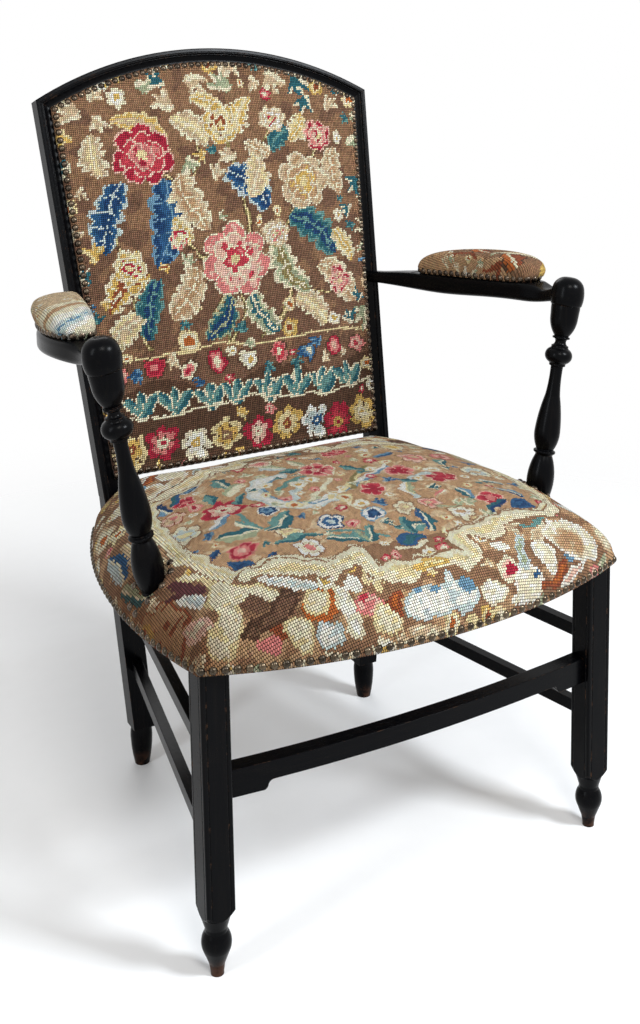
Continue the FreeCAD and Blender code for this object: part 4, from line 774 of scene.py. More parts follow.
# scrolled frame at the front of the field
SEAT_SCROLL = [(-241, -175), (-222, -163), (-205, -159), (-175, -161), (-160, -168), (-148, -176),
               (-135, -182), (-128, -190), (-118, -192), (-108, -186), (-95, -181), (-80, -182),
               (-70, -188), (-66, -198), (-68, -212), (-64, -220), (-48, -214), (-36, -220), (-20, -225),
               (0, -227), (25, -224), (40, -223), (50, -227), (42, -212), (38, -204), (45, -196),
               (60, -190), (75, -187), (95, -187), (115, -182), (130, -176), (150, -172), (175, -172),
               (195, -175), (214, -178), (228, -170), (238, -150), (250, -152), (246, -172), (232, -188),
               (205, -192), (180, -190), (150, -194), (138, -200), (126, -210), (112, -217), (98, -218),
               (84, -211), (75, -206), (72, -214), (78, -228), (76, -239), (66, -248), (52, -256),
               (36, -252), (25, -245), (0, -245), (-20, -243), (-28, -250), (-48, -253), (-66, -248),
               (-82, -239), (-89, -222), (-95, -209), (-106, -211), (-118, -215), (-134, -212),
               (-150, -205), (-168, -194), (-188, -185), (-212, -179)]

# forms of the border along the front edge: wool, wool of the rim, outline
SEAT_BORDER = (
    ("tan", "rust", [(-356, -96), (-330, -104), (-306, -118), (-300, -150), (-302, -186), (-320, -196),
        (-350, -204), (-360, -150)]),
    ("gold", None, [(-352, -108), (-343, -114), (-341, -128), (-346, -142), (-352, -130)]),
    ("cream", "straw", [(-284, -100), (-262, -102), (-244, -118), (-232, -142), (-229, -162),
        (-238, -178), (-214, -184), (-202, -196), (-195, -210), (-206, -222), (-222, -212), (-246, -200),
        (-252, -222), (-264, -238), (-284, -242), (-306, -236), (-312, -226), (-292, -214), (-276, -204),
        (-276, -178), (-262, -152)]),
    ("plum", None, [(-312, -116), (-298, -118), (-280, -128), (-264, -148), (-270, -160), (-284, -150),
        (-299, -134)]),
    ("plum", None, [(-297, -100), (-285, -102), (-276, -118), (-276, -132), (-286, -126)]),
    ("pale", "white", [(-298, -136), (-288, -140), (-277, -152), (-273, -170), (-282, -178),
        (-293, -164)]),
    ("cream", "pink", [(-320, -188), (-306, -180), (-294, -184), (-285, -196), (-284, -210), (-296, -215),
        (-312, -208)]),
    ("dark", None, [(-250, -200), (-236, -198), (-222, -206), (-213, -217), (-230, -216), (-246, -208)]),
    ("dark", "umber", [(-268, -235), (-250, -226), (-226, -222), (-204, -214), (-188, -206), (-176, -214),
        (-184, -228), (-204, -238), (-238, -244), (-262, -241)]),
    ("pale", "white", [(-216, -180), (-198, -184), (-178, -194), (-160, -206), (-147, -218), (-150, -228),
        (-168, -220), (-188, -202), (-206, -190)]),
    ("orange", None, [(-188, -242), (-178, -226), (-160, -220), (-144, -226), (-137, -240), (-146, -254),
        (-166, -259), (-182, -254)]),
    ("cream", "straw", [(-184, -236), (-175, -224), (-162, -220), (-149, -225), (-144, -236),
        (-150, -247), (-164, -251), (-178, -247)]),
    ("white", "cream", [(-141, -228), (-132, -226), (-124, -238), (-122, -262), (-125, -284),
        (-135, -292), (-144, -276), (-143, -252)]),
    ("white", None, [(-130, -234), (-120, -223), (-107, -221), (-101, -229), (-106, -240), (-118, -243)]),
    ("pink", "rose", [(-124, -252), (-110, -245), (-96, -250), (-84, -260), (-82, -272), (-96, -277),
        (-112, -272), (-123, -264)]),
    ("red", None, [(-114, -250), (-108, -245), (-103, -251), (-109, -256)]),
    ("cream", "straw", [(-110, -272), (-94, -266), (-80, -270), (-72, -284), (-78, -297), (-94, -302),
        (-110, -294)]),
    ("orange", "rust", [(-84, -262), (-70, -258), (-60, -264), (-68, -272), (-70, -286), (-79, -278)]),
    ("white", "pale", [(-68, -274), (-52, -268), (-32, -260), (-14, -266), (-2, -262), (6, -276),
        (4, -294), (-14, -302), (-42, -296), (-64, -290)]),
    ("sky", None, [(-46, -267), (-37, -261), (-29, -266), (-36, -273)]),
    ("sky", None, [(-26, -267), (-15, -262), (-8, -268), (-18, -273)]),
    ("cream", "fawn", [(-70, -302), (-50, -299), (-30, -305), (-20, -316), (-42, -322), (-64, -320)]),
    ("rose", "tan", [(-264, -252), (-250, -244), (-232, -242), (-220, -250), (-220, -266), (-234, -272),
        (-252, -264)]),
    ("rust", None, [(-233, -242), (-216, -241), (-213, -254), (-224, -258)]),
    ("cream", "straw", [(-216, -246), (-203, -240), (-189, -246), (-184, -258), (-190, -276),
        (-200, -286), (-212, -276)]),
    ("white", "pale", [(-181, -264), (-170, -258), (-157, -262), (-147, -274), (-153, -287), (-170, -291),
        (-182, -282)]),
    ("fawn", "cream", [(-186, -290), (-166, -296), (-150, -304), (-160, -312), (-182, -304)]),
    ("white", "pale", [(3, -252), (14, -249), (20, -264), (34, -268), (48, -276), (44, -292), (28, -304),
        (10, -304), (2, -288), (1, -270)]),
    ("sky", None, [(19, -268), (30, -263), (45, -270), (46, -279), (31, -279)]),
    ("white", "cream", [(56, -270), (70, -271), (84, -277), (93, -286), (86, -297), (66, -302),
        (51, -297), (51, -282)]),
    ("cream", "straw", [(60, -309), (74, -303), (90, -308), (94, -319), (76, -325)]),
    ("straw", None, [(18, -309), (34, -309), (42, -322), (26, -328)]),
    ("pink", "cream", [(82, -260), (96, -251), (112, -248), (122, -258), (119, -272), (104, -279),
        (88, -275)]),
    ("crimson", None, [(98, -263), (106, -256), (116, -259), (119, -266), (110, -271), (100, -270)]),
    ("cream", "white", [(115, -266), (126, -258), (144, -266), (153, -282), (150, -299), (128, -304),
        (97, -304), (104, -286)]),
    ("blue", None, [(136, -275), (144, -270), (149, -276), (140, -280)]),
    ("sage", "pale", [(121, -262), (127, -246), (130, -230), (138, -218), (149, -214), (150, -224),
        (141, -238), (139, -256), (132, -268)]),
    ("white", None, [(92, -228), (102, -221), (113, -226), (118, -235), (108, -242), (98, -237)]),
    ("cream", "white", [(151, -241), (160, -231), (174, -231), (187, -238), (191, -250), (182, -267),
        (171, -270), (160, -256)]),
    ("orange", "rust", [(152, -283), (168, -280), (181, -272), (191, -261), (202, -255), (207, -263),
        (198, -277), (184, -288), (156, -292)]),
    ("sky", None, [(206, -252), (213, -245), (221, -250), (215, -258), (208, -257)]),
    ("pink", "white", [(194, -282), (206, -268), (222, -260), (240, -256), (238, -266), (222, -277),
        (202, -288)]),
    ("cream", "white", [(184, -220), (190, -207), (204, -199), (224, -197), (246, -202), (266, -214),
        (282, -230), (278, -243), (262, -252), (242, -257), (224, -250), (204, -244), (192, -232)]),
    ("tan", "fawn", [(200, -223), (214, -213), (232, -212), (249, -222), (252, -234), (242, -248),
        (224, -245), (206, -240)]),
    ("fawn", "cream", [(156, -229), (168, -213), (186, -202), (197, -198), (190, -209), (184, -224),
        (170, -236)]),
    ("teal", "sea", [(150, -203), (166, -202), (184, -195), (206, -187), (224, -183), (220, -191),
        (196, -198), (176, -206), (160, -208)]),
    ("cream", "fawn", [(286, -176), (304, -168), (322, -178), (330, -200), (322, -222), (304, -232),
        (288, -222), (282, -200)]),
    ("orange", None, [(298, -192), (310, -188), (316, -200), (306, -210), (297, -204)]),
    ("white", "pale", [(262, -150), (280, -146), (292, -156), (290, -172), (272, -178), (260, -166)]),
)

# scrolls and stems of the field: line, width, wool
SEAT_STEMS = (
    ([(-60, 52), (-98, 46), (-117, 12), (-108, -36), (-78, -62), (-40, -58)], 22, "pale"),
    ([(-60, 52), (-98, 46), (-117, 12), (-108, -36), (-78, -62), (-40, -58)], 13, "white"),
    ([(-70, 44), (-94, 34), (-104, 6), (-98, -30), (-74, -52)], 5, "sky"),
    ([(-92, -48), (-70, -12), (-48, 20)], 11, "pale"), ([(-80, -58), (-40, -26), (-8, 4)], 10, "cream"),
    ([(-70, -60), (-20, -44), (30, -22), (84, 14)], 12, "sky"),
    ([(-66, -58), (-16, -38), (34, -14), (88, 22)], 7, "white"),
    ([(-40, -56), (10, -22), (52, 20)], 9, "straw"), ([(-84, 8), (-60, 22), (-38, 30)], 9, "sea"),
    ([(-4, -44), (30, 6), (60, 30)], 7, "olive"),
    ([(60, -100), (72, -60), (90, -42), (128, -32)], 9, "pale"),
    ([(-166, -36), (-164, -62), (-160, -86)], 5, "sea"), ([(-28, -66), (-28, -112)], 5, "cream"),
    ([(-90, -132), (-56, -150), (-30, -176)], 5, "sea"),
    ([(60, -134), (96, -140), (150, -128)], 5, "sage"),
)

# flowers of the field: middle, radius, petals, wools from outside to heart and of the edge
SEAT_BLOSSOMS = (
    ((-172, -8), 29, 7, ("crimson", "pink", "cream", "red")),
    ((-200, -122), 17, 5, ("crimson", "rose", "pink", "rose")),
    ((-130, -50), 14, 5, ("navy", "sky", "blue", "white")),
    ((-198, 62), 16, 5, ("red", "crimson", "rose", "pink")),
    ((-230, 32), 17, 5, ("pink", "fawn", "rose", "rust")),
    ((-130, -158), 18, 6, ("white", "cream", "rose", "brown")),
    ((-134, -118), 16, 5, ("cream", "straw", "fawn", "brown")),
    ((-75, -116), 15, 4, ("white", "blue", "pale", "navy")),
    ((-18, -124), 16, 4, ("white", "navy", "blue", "sky")),
    ((-4, 48), 27, 6, ("rose", "crimson", "pink", "cream")),
    ((20, -60), 19, 5, ("red", "crimson", "crimson", "pink")),
    ((96, -8), 21, 5, ("rose", "crimson", "crimson", "pink")),
    ((142, 30), 22, 6, ("pink", "rose", "fawn", "brown")),
    ((134, -56), 22, 5, ("crimson", "red", "crimson", "pink")),
    ((154, -142), 19, 5, ("red", "crimson", "rose", "pink")),
    ((95, -160), 18, 6, ("cream", "white", "tan", "brown")),
    ((26, -126), 17, 6, ("cream", "fawn", "straw", "brown")),
    ((68, -124), 16, 5, ("pink", "rose", "fawn", "brown")),
    ((-236, -24), 22, 6, ("cream", "pale", "straw", "brown")),
    ((204, -40), 22, 6, ("cream", "pale", "fawn", "brown")),
    ((200, 40), 20, 5, ("rose", "pink", "crimson", "brown")),
    ((-60, 120), 20, 6, ("cream", "pink", "rose", "brown")),
    ((60, 118), 20, 5, ("red", "rose", "crimson", "pink")),
    ((-180, 100), 14, 5, ("navy", "sky", "blue", "pale")),
    ((150, 100), 19, 6, ("cream", "straw", "gold", "brown")),
)

# leaves of the field: foot, tip, width, dark and light wool, bend
SEAT_LEAVES = (
    ((-190, -160), (-166, -148), 15, ("navy", "blue"), 0),
    ((-242, -108), (-220, -98), 15, ("navy", "blue"), 0),
    ((-164, -92), (-212, -66), 30, ("teal", "sage"), 4),
    ((-158, -98), (-108, -68), 32, ("teal", "sea"), -5),
    ((-160, -88), (-176, -48), 17, ("sea", "cream"), 2), ((-176, 20), (-168, 54), 18, ("teal", "sea"), 0),
    ((-148, -4), (-130, 26), 16, ("teal", "sea"), 0), ((-208, -46), (-176, -28), 18, ("sky", "white"), 2),
    ((-222, 56), (-234, 114), 26, ("navy", "sky"), 5),
    ((-214, 70), (-194, 106), 17, ("blue", "teal"), -3),
    ((-136, 52), (-140, 104), 26, ("teal", "sea"), 0), ((-150, 30), (-116, 60), 24, ("cream", "sage"), 3),
    ((-162, -134), (-96, -140), 16, ("teal", "sea"), 4),
    ((-98, -150), (-50, -182), 24, ("teal", "sea"), 6),
    ((-54, -182), (-34, -144), 22, ("teal", "sea"), 2),
    ((-64, -148), (-54, -180), 14, ("sea", "sage"), 0), ((42, -172), (-12, -160), 22, ("teal", "sea"), 4),
    ((30, -184), (42, -134), 22, ("teal", "blue"), -3), ((4, -182), (14, -146), 18, ("teal", "sea"), 3),
    ((-58, 66), (-26, 60), 18, ("teal", "sea"), 3), ((-70, 102), (-38, 76), 22, ("pale", "sage"), 3),
    ((-20, 106), (-12, 74), 19, ("cream", "sage"), 2), ((64, -96), (76, -50), 25, ("sage", "white"), 4),
    ((92, -58), (66, -40), 16, ("teal", "sea"), 2), ((108, -98), (84, -112), 20, ("rose", "fawn"), 2),
    ((122, -102), (134, -134), 24, ("teal", "sky"), 3), ((52, 20), (34, 50), 16, ("teal", "sea"), 2),
    ((178, -118), (204, -148), 20, ("navy", "sky"), 3),
    ((130, -166), (172, -152), 17, ("navy", "teal"), 2), ((166, -10), (190, 22), 20, ("teal", "sea"), 3),
    ((176, -84), (210, -102), 20, ("teal", "pale"), 3), ((100, 50), (128, 74), 19, ("blue", "sky"), -2),
)

# dark corners of the field
SEAT_CORNERS = (
    [(-241, -175), (-228, -156), (-226, -132), (-216, -134), (-204, -146), (-204, -157), (-224, -165)],
    [(170, -168), (176, -155), (198, -151), (205, -166), (222, -184), (200, -173), (186, -170)],
)


def turned(points, middle):
    """points turned half round about a place on the centre line"""
    return [(-u, 2 * middle - v) for u, v in points]


def mirrored(points, middle):
    """points mirrored from front to rear"""
    return [(u, 2 * middle - v) for u, v in points]


def in_field(u, v):
    """whether a place lies inside the seat's scrolled frame"""
    front, rear = smooth_path(SEAT_FIELD, 4), smooth_path(mirrored(SEAT_FIELD, SEAT_FIELD_MIDDLE), 4)
    return crossed(np.concatenate([front, rear[::-1]]), u, v)


def seat_border(chart, inside):
    """forms beyond the scrolled frame"""
    chart.lay(chart.clouds(60, 6) > 0.25, "tan")
    for wool, rim, outline in SEAT_BORDER:
        chart.patch(outline, wool, rim)
        chart.patch(turned(outline, SEAT_BORDER_MIDDLE), wool, rim)
    for side in (-1, 1):
        chart.leaf((side * 330, -14), (side * 322, 70), 34, "blue", "pale", side * 6, "brown")
        chart.leaf((side * 338, -20), (side * 318, -84), 28, "teal", "sage", side * 5, "brown")
        chart.leaf((side * 300, 60), (side * 306, -30), 26, "fawn", "cream", side * -6)
        chart.blossom((side * 288, 96), 19, 6, "straw", "cream", "orange", 0.2, "dark")
    chart.filled(1500, (8, 19), (1, 1, 2, 3, 5, 5, 8, 8, 10, 10, 10, 11), ~inside, 0.5)


def seat_field(chart, inside):
    """flowers inside the scrolled frame"""
    chart.taken = []
    chart.lay(inside, "tan")
    chart.lay(inside & (chart.clouds(34, 9) > 0.55), "fawn")
    chart.lay(inside & (np.abs(chart.u + 8) < 84) & ((chart.v < -188) | (chart.v > 132)), "brown")
    for points, width, wool in SEAT_STEMS:
        chart.stem(points, width, wool)
    for middle, radius, petals, (outer, inner, heart, edge) in SEAT_BLOSSOMS:
        chart.blossom(middle, radius, petals, outer, inner, heart, middle[1] * 0.1, edge)
    for foot, tip, width, wools, bend in SEAT_LEAVES:
        chart.leaf(foot, tip, width, *wools, bend)
    for corner in SEAT_CORNERS:
        chart.patch(corner, "navy", "blue")
        chart.patch(turned(corner, SEAT_FIELD_MIDDLE), "navy", "blue")
    front_tuft = [(-26, -186), (-8, -181), (12, -184), (15, -193), (6, -198), (-10, -200), (-24, -196)]
    chart.patch(front_tuft, "teal", "blue")
    chart.stem([(-30, -203), (-8, -205), (14, -202)], 6, "cream")
    chart.filled(1200, (6, 12), (0, 1, 1, 1, 3, 5, 5, 6, 7, 8, 8, 9), inside, 0.5)


def scrolled_frame(chart):
    """band between field and border, at the front and at the rear"""
    for points in (SEAT_FIELD, mirrored(SEAT_FIELD, SEAT_FIELD_MIDDLE)):
        for width, wool in ((24, "brown"), (21, "cream"), (10, "straw"), (4, "cream")):
            chart.stem(points, width, wool)
    for scroll in (SEAT_SCROLL, mirrored(SEAT_SCROLL, SEAT_FIELD_MIDDLE)):
        chart.patch(scroll, "straw", "cream", 9)
        chart.stem(scroll + scroll[:1], 2.6, "brown")
    clasp = [(-28, -230), (0, -229), (20, -232), (16, -240), (-10, -241), (-27, -238)]
    chart.patch(clasp, "straw", "gold")


def soiled_and_shaded(wool, u, v):
    """the seat's wools darkened at the front left as painted shade, and stained brown at the left corner and
    the edges
    """
    # painted shade over the front left of the seat; the soil below is a brown stain
    shadow = 0.26 * ramp(-u, 40, 160) * ramp(-v, 120, 90)
    soil = 0.62 * ramp(-u, 268, 70) * ramp(-v, -90, 120) + 0.16 * ramp(np.hypot(u, v * 1.05), 300, 60)
    wool = wool * (1 - shadow[:, None])
    return wool * (1 - soil[:, None]) + wool ** 0.6 * np.array(tone(128, 88, 50)) * soil[:, None]


def seat_pattern(spots):
    chart = Chart(spots, "brown", 21)
    inside = in_field(chart.u, chart.v)
    seat_border(chart, inside)
    border = chart.wool.copy()
    seat_field(chart, inside)
    chart.wool[~inside] = border[~inside]
    scrolled_frame(chart)
    wool = chart.worked()
    wool[inside] = (wool[inside] * 1.16).clip(0, 0.92)
    return soiled_and_shaded(wool, chart.u, chart.v)


def near_support(points, reach):
    """closeness to the foot of either arm support, 1 at the wood and 0 at the given reach"""
    lean = np.array([math.sin(SUPPORT_LEAN), 0, math.cos(SUPPORT_LEAN)])
    close = np.zeros(len(points))
    for side in (-1, 1):
        way = points * (side, 1, 1) - np.array(SUPPORT_FOOT)
        off = np.linalg.norm(way - (way @ lean)[:, None] * lean, axis=1)
        close = np.maximum(close, 1 - ramp(off, SUPPORT_GIRTH, reach))
    return close


def behind_posts(points):
    """whether points lie where the rear posts stand, or close to them"""
    across, along = POST_CLEARANCE
    return (np.abs(points[:, 0]) > POST_INNER_X - across) & (points[:, 1] > POST_FRONT_Y - along)


def islands(node):
    """loose solids of a CAD node, each as its points"""
    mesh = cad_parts[node].data
    spots = np.array([v.co for v in mesh.vertices])
    names = [tuple(k) for k in np.round(spots, 5).tolist()]
    joined = {}

    def root(key):
        while joined.setdefault(key, key) != key:
            joined[key] = joined[joined[key]]
            key = joined[key]
        return key

    for edge in mesh.edges:
        a, b = edge.vertices
        joined[root(names[a])] = root(names[b])
    groups = {}
    for name in set(names):
        groups.setdefault(root(name), []).append(name)
    return [np.array(group) for group in groups.values()]


def nail_seats(node):
    """foot and outward way of each nail head of a node"""
    for head in islands(node):
        middle = head.mean(0)
        way = np.linalg.svd(head - middle)[2][2]
        high = (head - middle) @ way
        wide = np.linalg.norm(head - middle - high[:, None] * way, axis=1)
        if np.dot(high, wide) > 0:
            way, high = -way, -high
        yield middle + way * high.min(), way


def pinned(points, nodes, reach):
    """cover drawn down to the foot of each nail, within a reach round it"""
    points = points.copy()
    for node in nodes:
        for foot, way in nail_seats(node):
            near = np.flatnonzero((np.abs(points - foot) < NAIL_SEARCH).all(1))
            gap = points[near] - foot
            high = gap @ way
            off = np.linalg.norm(gap - high[:, None] * way, axis=1)
            press = 1 - ramp(off, NAIL_HEAD, reach - NAIL_HEAD)
            press = press * press * (3 - 2 * press) * (np.abs(high) < NAIL_LIFT)
            points[near] -= way * ((high + NAIL_PRESS) * press)[:, None]
    return points


def normals_of(canvas, points):
    """outward directions at the canvas's corners, from the faces that meet there"""
    facing = np.zeros_like(points)
    a, b, c, d = (points[canvas.quads[:, k]] for k in range(4))
    for k in range(4):
        np.add.at(facing, canvas.quads[:, k], np.cross(c - a, d - b))
    return facing / np.maximum(np.linalg.norm(facing, axis=1, keepdims=True), 1e-12)


def lumps(points, size, depth, seed):
    """slow unevenness of hair stuffing"""
    shift = np.random.default_rng(seed)
    total = np.zeros(len(points))
    for _ in range(9):
        way = shift.normal(0, 1, 3)
        total += np.sin(points @ way * (2 * math.pi / size) + shift.uniform(0, 6.3))
    return total * depth / 4


def uneven(points, start, canvas, size, depth, seed):
    """cover with the lumps of its stuffing, which fade out along the nailed edge"""
    inner = (start.edge_length(canvas.flat) - np.hypot(*canvas.flat.T)).clip(0)
    bulge = lumps(points, size, depth, seed) * ramp(inner, 0, EDGE_TAPER)
    return points + normals_of(canvas, points) * bulge[:, None]


def seat():
    start = seat_form()

    def held(points):
        low = points[:, 2] < SEAT_EDGE_Z + SEAT_NAILED_HEIGHT
        return behind_posts(points) | (near_support(points, SUPPORT_HOLD) > 0) | low

    swell = swollen(start, SEAT_PITCH * 4, pressure=2.2, most=0.005, held=held)
    canvas = Canvas(start, SEAT_PITCH, lambda spots: in_field(*(spots * 1000).T))
    points = start.laid(canvas.flat)
    loose = ramp(points[:, 2], SEAT_EDGE_Z + SEAT_SWELL_FROM, SEAT_SWELL_RUN)
    points += swell_at(swell, canvas.flat) * loose[:, None]
    normals = normals_of(canvas, points)
    points = uneven(points, start, canvas, size=0.16, depth=0.0016, seed=5)
    points -= normals * (near_support(points, SUPPORT_DIP_REACH) ** 2 * SUPPORT_DIP)[:, None]
    points = pinned(points, ("seat_nails", "arm_support_nails"), reach=0.0105)
    back = behind_posts(points) & (np.abs(points[:, 0]) > POST_INNER_X)
    points[back, 1] = np.minimum(points[back, 1], POST_FRONT_Y)
    padded_cover("seat_needlework_cover", start, canvas, points, seat_pattern(canvas.middles),
                 needlework("seat_needlework"), ("seat_cover", "seat_stuffing"),
                 under=SEAT_UNDERSIDE)


# Back panel

BACK_AXES = np.array(((1, 0, 0), (0, math.sin(BACK_RAKE), math.cos(BACK_RAKE)),
                      (0, -math.cos(BACK_RAKE), math.sin(BACK_RAKE))))


def stile_x(inset, up):
    """how far out a line inside the stile's outer face lies, at a height up the back"""
    return BACK_HALF_WIDTH + BACK_FLARE * up - inset * math.hypot(1, BACK_FLARE)


def back_outline(inset, low):
    """outline in the back's own plane, from its lower left corner round by the crest"""
    reach = CREST_RADIUS - inset
    ups = np.linspace(low, 0.7, 3000)
    top = ups[np.hypot(stile_x(inset, ups), ups - CREST_CENTRE) <= reach][-1]
    right = line_points((stile_x(inset, low), low), (stile_x(inset, top), top))
    half = math.atan2(stile_x(inset, top), top - CREST_CENTRE)
    turns = np.linspace(half, -half, 160)
    crest = np.stack([reach * np.sin(turns), CREST_CENTRE + reach * np.cos(turns)], 1)
    left = right[::-1] * (-1, 1)
    return np.concatenate([line_points(left[-1], right[0])[:-1], right, crest[1:-1], left[:-1]])


def from_back(flat):
    """places of points in the back's own plane: across, up and outwards"""
    return np.array(BACK_FOOT) + np.asarray(flat) @ BACK_AXES


def to_back(points):
    """the same points in the back's own plane"""
    return (points - np.array(BACK_FOOT)) @ BACK_AXES.T


def back_form():
    outline = back_outline(PANEL_INSET, PANEL_LOW) - (0, PANEL_MIDDLE_UP)
    origin = from_back((0, PANEL_MIDDLE_UP, -PANEL_SINK))
    return Form(outline, crown_profile(PANEL_FULLNESS), PANEL_CROWN, origin, BACK_AXES)


# great leaves of the back: foot, tip, width, wools from rim to midrib, bend
BACK_LEAVES = (
    ((-100, 140), (-122, 8), 64, ("sky", "navy", "blue"), 12),
    ((-170, 138), (-206, 34), 54, ("pale", "blue", "navy"), -8),
    ((-74, 150), (-36, 60), 56, ("cream", "fawn", "tan"), -12),
    ((2, 150), (66, 82), 60, ("pale", "blue", "navy"), 14),
    ((60, 176), (40, 104), 40, ("cream", "straw", "fawn"), 8),
    ((104, 70), (182, 4), 56, ("sea", "teal", "navy"), 12),
    ((72, 30), (122, -52), 50, ("cream", "sage", "olive"), -10),
    ((-66, 4), (-112, -70), 54, ("cream", "fawn", "tan"), 10),
    ((-142, 4), (-208, -52), 50, ("cream", "gold", "rust"), -10),
    ((146, -10), (208, -74), 50, ("cream", "fawn", "tan"), 8),
    ((-12, -50), (-60, -108), 42, ("sage", "teal", "navy"), 8),
    ((20, -46), (60, -108), 42, ("cream", "sage", "teal"), -8),
    ((-196, 150), (-206, 214), 44, ("cream", "fawn", "straw"), 8),
    ((-88, 200), (-176, 236), 40, ("straw", "gold", "fawn"), -10),
    ((-20, 190), (-78, 236), 44, ("cream", "fawn", "straw"), -8),
    ((30, 204), (60, 262), 40, ("cream", "gold", "straw"), 8),
    ((120, 190), (150, 232), 40, ("cream", "straw", "gold"), -6),
    ((196, 176), (202, 100), 42, ("cream", "fawn", "tan"), -6),
    ((86, 176), (118, 210), 32, ("sea", "teal", "teal"), 5),
    ((-130, -10), (-150, -100), 40, ("sea", "teal", "navy"), -8),
    ((-40, 262), (6, 248), 30, ("cream", "straw", "gold"), 4),
    ((186, 40), (214, -10), 36, ("cream", "straw", "gold"), 4),
    ((96, -60), (150, -104), 40, ("cream", "fawn", "straw"), 8),
    ((-160, -60), (-206, -108), 40, ("cream", "straw", "fawn"), -6),
    ((-60, 40), (-96, 80), 32, ("cream", "straw", "gold"), 4),
    ((40, 190), (86, 170), 30, ("cream", "fawn", "tan"), -4),
)

# stems that climb from the beds: line, width
BACK_STEMS = (
    ([(-20, -116), (-40, -70), (-10, -20), (-70, 40), (-60, 110), (-120, 160)], 8),
    ([(-20, -116), (10, -70), (0, -10), (30, 50), (20, 130), (8, 200)], 8),
    ([(30, -112), (70, -84), (96, -30), (84, 30), (120, 90), (172, 190)], 7),
    ([(-150, -112), (-170, -60), (-160, 0), (-186, 60), (-176, 130)], 6),
    ([(20, 140), (60, 170), (90, 220)], 5), ([(-60, 120), (-40, 180), (-62, 230)], 5),
    ([(96, -40), (150, -60), (184, -44)], 5), ([(-60, -60), (-84, -40), (-90, -10)], 5),
)

# great flowers: middle, radius, wools of the three rounds, wool of the petals' edges
BACK_PEONIES = (
    ((-130, 178), 50, ("crimson", "red", "rose"), "pink"), ((2, 8), 60, ("rose", "pink", "red"), "cream"),
    ((136, 122), 47, ("fawn", "tan", "gold"), "cream"),
    ((4, 222), 33, ("gold", "straw", "rust"), "cream"),
    ((92, 226), 25, ("cream", "white", "crimson"), "fawn"),
    ((174, 196), 25, ("crimson", "rose", "cream"), "pink"),
    ((-170, 10), 27, ("straw", "gold", "crimson"), "cream"),
    ((184, -40), 23, ("crimson", "rose", "straw"), "pink"),
    ((-88, 46), 19, ("crimson", "rose", "straw"), "cream"),
    ((76, 44), 24, ("cream", "white", "rose"), "fawn"),
)

# beds along the foot: place across, rise, wools from outside to heart; leaf tufts: place across, slant
BACK_LOW_BED = (
    (-198, 0, ("straw", "gold", "rust")), (-146, 6, ("crimson", "rose", "cream")),
    (-92, -4, ("cream", "white", "gold")), (-42, 4, ("straw", "gold", "brown")),
    (10, -2, ("crimson", "pink", "cream")), (62, 4, ("gold", "straw", "rust")),
    (112, 0, ("white", "pale", "blue")), (154, -6, ("crimson", "red", "gold")),
    (200, 2, ("gold", "straw", "cream")),
)
BACK_UPPER_BED = (
    (-204, 0, ("rose", "pink", "crimson")), (-150, 7, ("red", "crimson", "rose")),
    (-96, -3, ("cream", "rose", "crimson")), (-46, 4, ("crimson", "rose", "cream")),
    (4, 0, ("cream", "white", "gold")), (58, 5, ("rose", "red", "cream")),
    (106, -4, ("blue", "sky", "cream")), (156, 3, ("crimson", "rose", "pink")),
    (204, 0, ("rose", "pink", "red")),
)
BACK_TUFTS = (
    (-176, 0.4), (-120, -0.2), (-66, 0.3), (-18, -0.3), (34, 0.2), (86, -0.2), (130, 0.3), (180, -0.3),
)


def back_pattern(spots):
    """great flowers on climbing stems, with beds of small flowers below and sprigs all about"""
    chart = Chart(spots, "dark", 33)
    u, v = chart.u, chart.v
    # brown wool in slow clouds over the dark ground, more of it towards the top as painted light from above
    chart.lay(chart.clouds(70, 12) + (v - 40) / 400 > 0.1, "brown")
    chart.lay(v < -170 + 12 * np.sin(u / 30), "umber")
    for points, width in BACK_STEMS:
        for share, wool in ((1.0, "umber"), (0.62, "olive"), (0.3, "straw")):
            chart.stem(points, width * share, wool)
    for foot, tip, width, wools, bend in BACK_LEAVES:
        chart.frond(foot, tip, width * 1.25, wools, bend)
    for middle, radius, wools, edge in BACK_PEONIES:
        chart.peony(middle, radius, wools, edge, middle[0])
    for x, up, wools in BACK_LOW_BED:
        chart.blossom((x, -258 + up), 27, 6, *wools, x * 0.2, "umber")
    for x, slant in BACK_TUFTS:
        for s in (-1, 0, 1):
            tip = (x + 27 * s + 8 * slant, -172 - 8 * abs(s))
            chart.leaf((x, -214), tip, 18, "teal", "sea", 3 * s, "cream")
    for x, up, wools in BACK_UPPER_BED:
        chart.blossom((x, -146 + up), 15, 5, *wools, x, "umber")
    chart.stem([(-226, -206), (-120, -214), (0, -204), (120, -216), (226, -204)], 4, "cream")
    chart.stem([(-226, -120), (-130, -126), (-40, -118), (40, -124), (130, -116), (226, -124)], 4, "straw")
    chart.filled(900, (12, 20), (1, 2, 5, 8, 9, 10, 10, 11, 11), v > -110, 0.5)
    chart.filled(1600, (7, 13), (0, 1, 2, 3, 5, 6, 6, 7, 8, 9, 10, 11), v > -400, 0.5)
    return chart.worked(0.1)


def back():
    start = back_form()
    swell = swollen(start, BACK_PITCH * 4, pressure=1.2, most=0.006)
    canvas = Canvas(start, BACK_PITCH)
    points = start.laid(canvas.flat) + swell_at(swell, canvas.flat)
    points = uneven(points, start, canvas, size=0.2, depth=0.0009, seed=8)
    points = pinned(points, ("back_nails",), reach=0.0085)
    padded_cover("back_needlework_cover", start, canvas, points, back_pattern(canvas.middles),
                 needlework("back_needlework"), ("back_cover", "back_stuffing"))


# Arm pads

def pad_line(y):
    """arm's centre line under the pad"""
    share = (y - PAD_FRONT_Y) / (PAD_REAR_Y - PAD_FRONT_Y)
    return PAD_FRONT_X + (PAD_REAR_X - PAD_FRONT_X) * share + 4 * PAD_BOW * share * (1 - share)


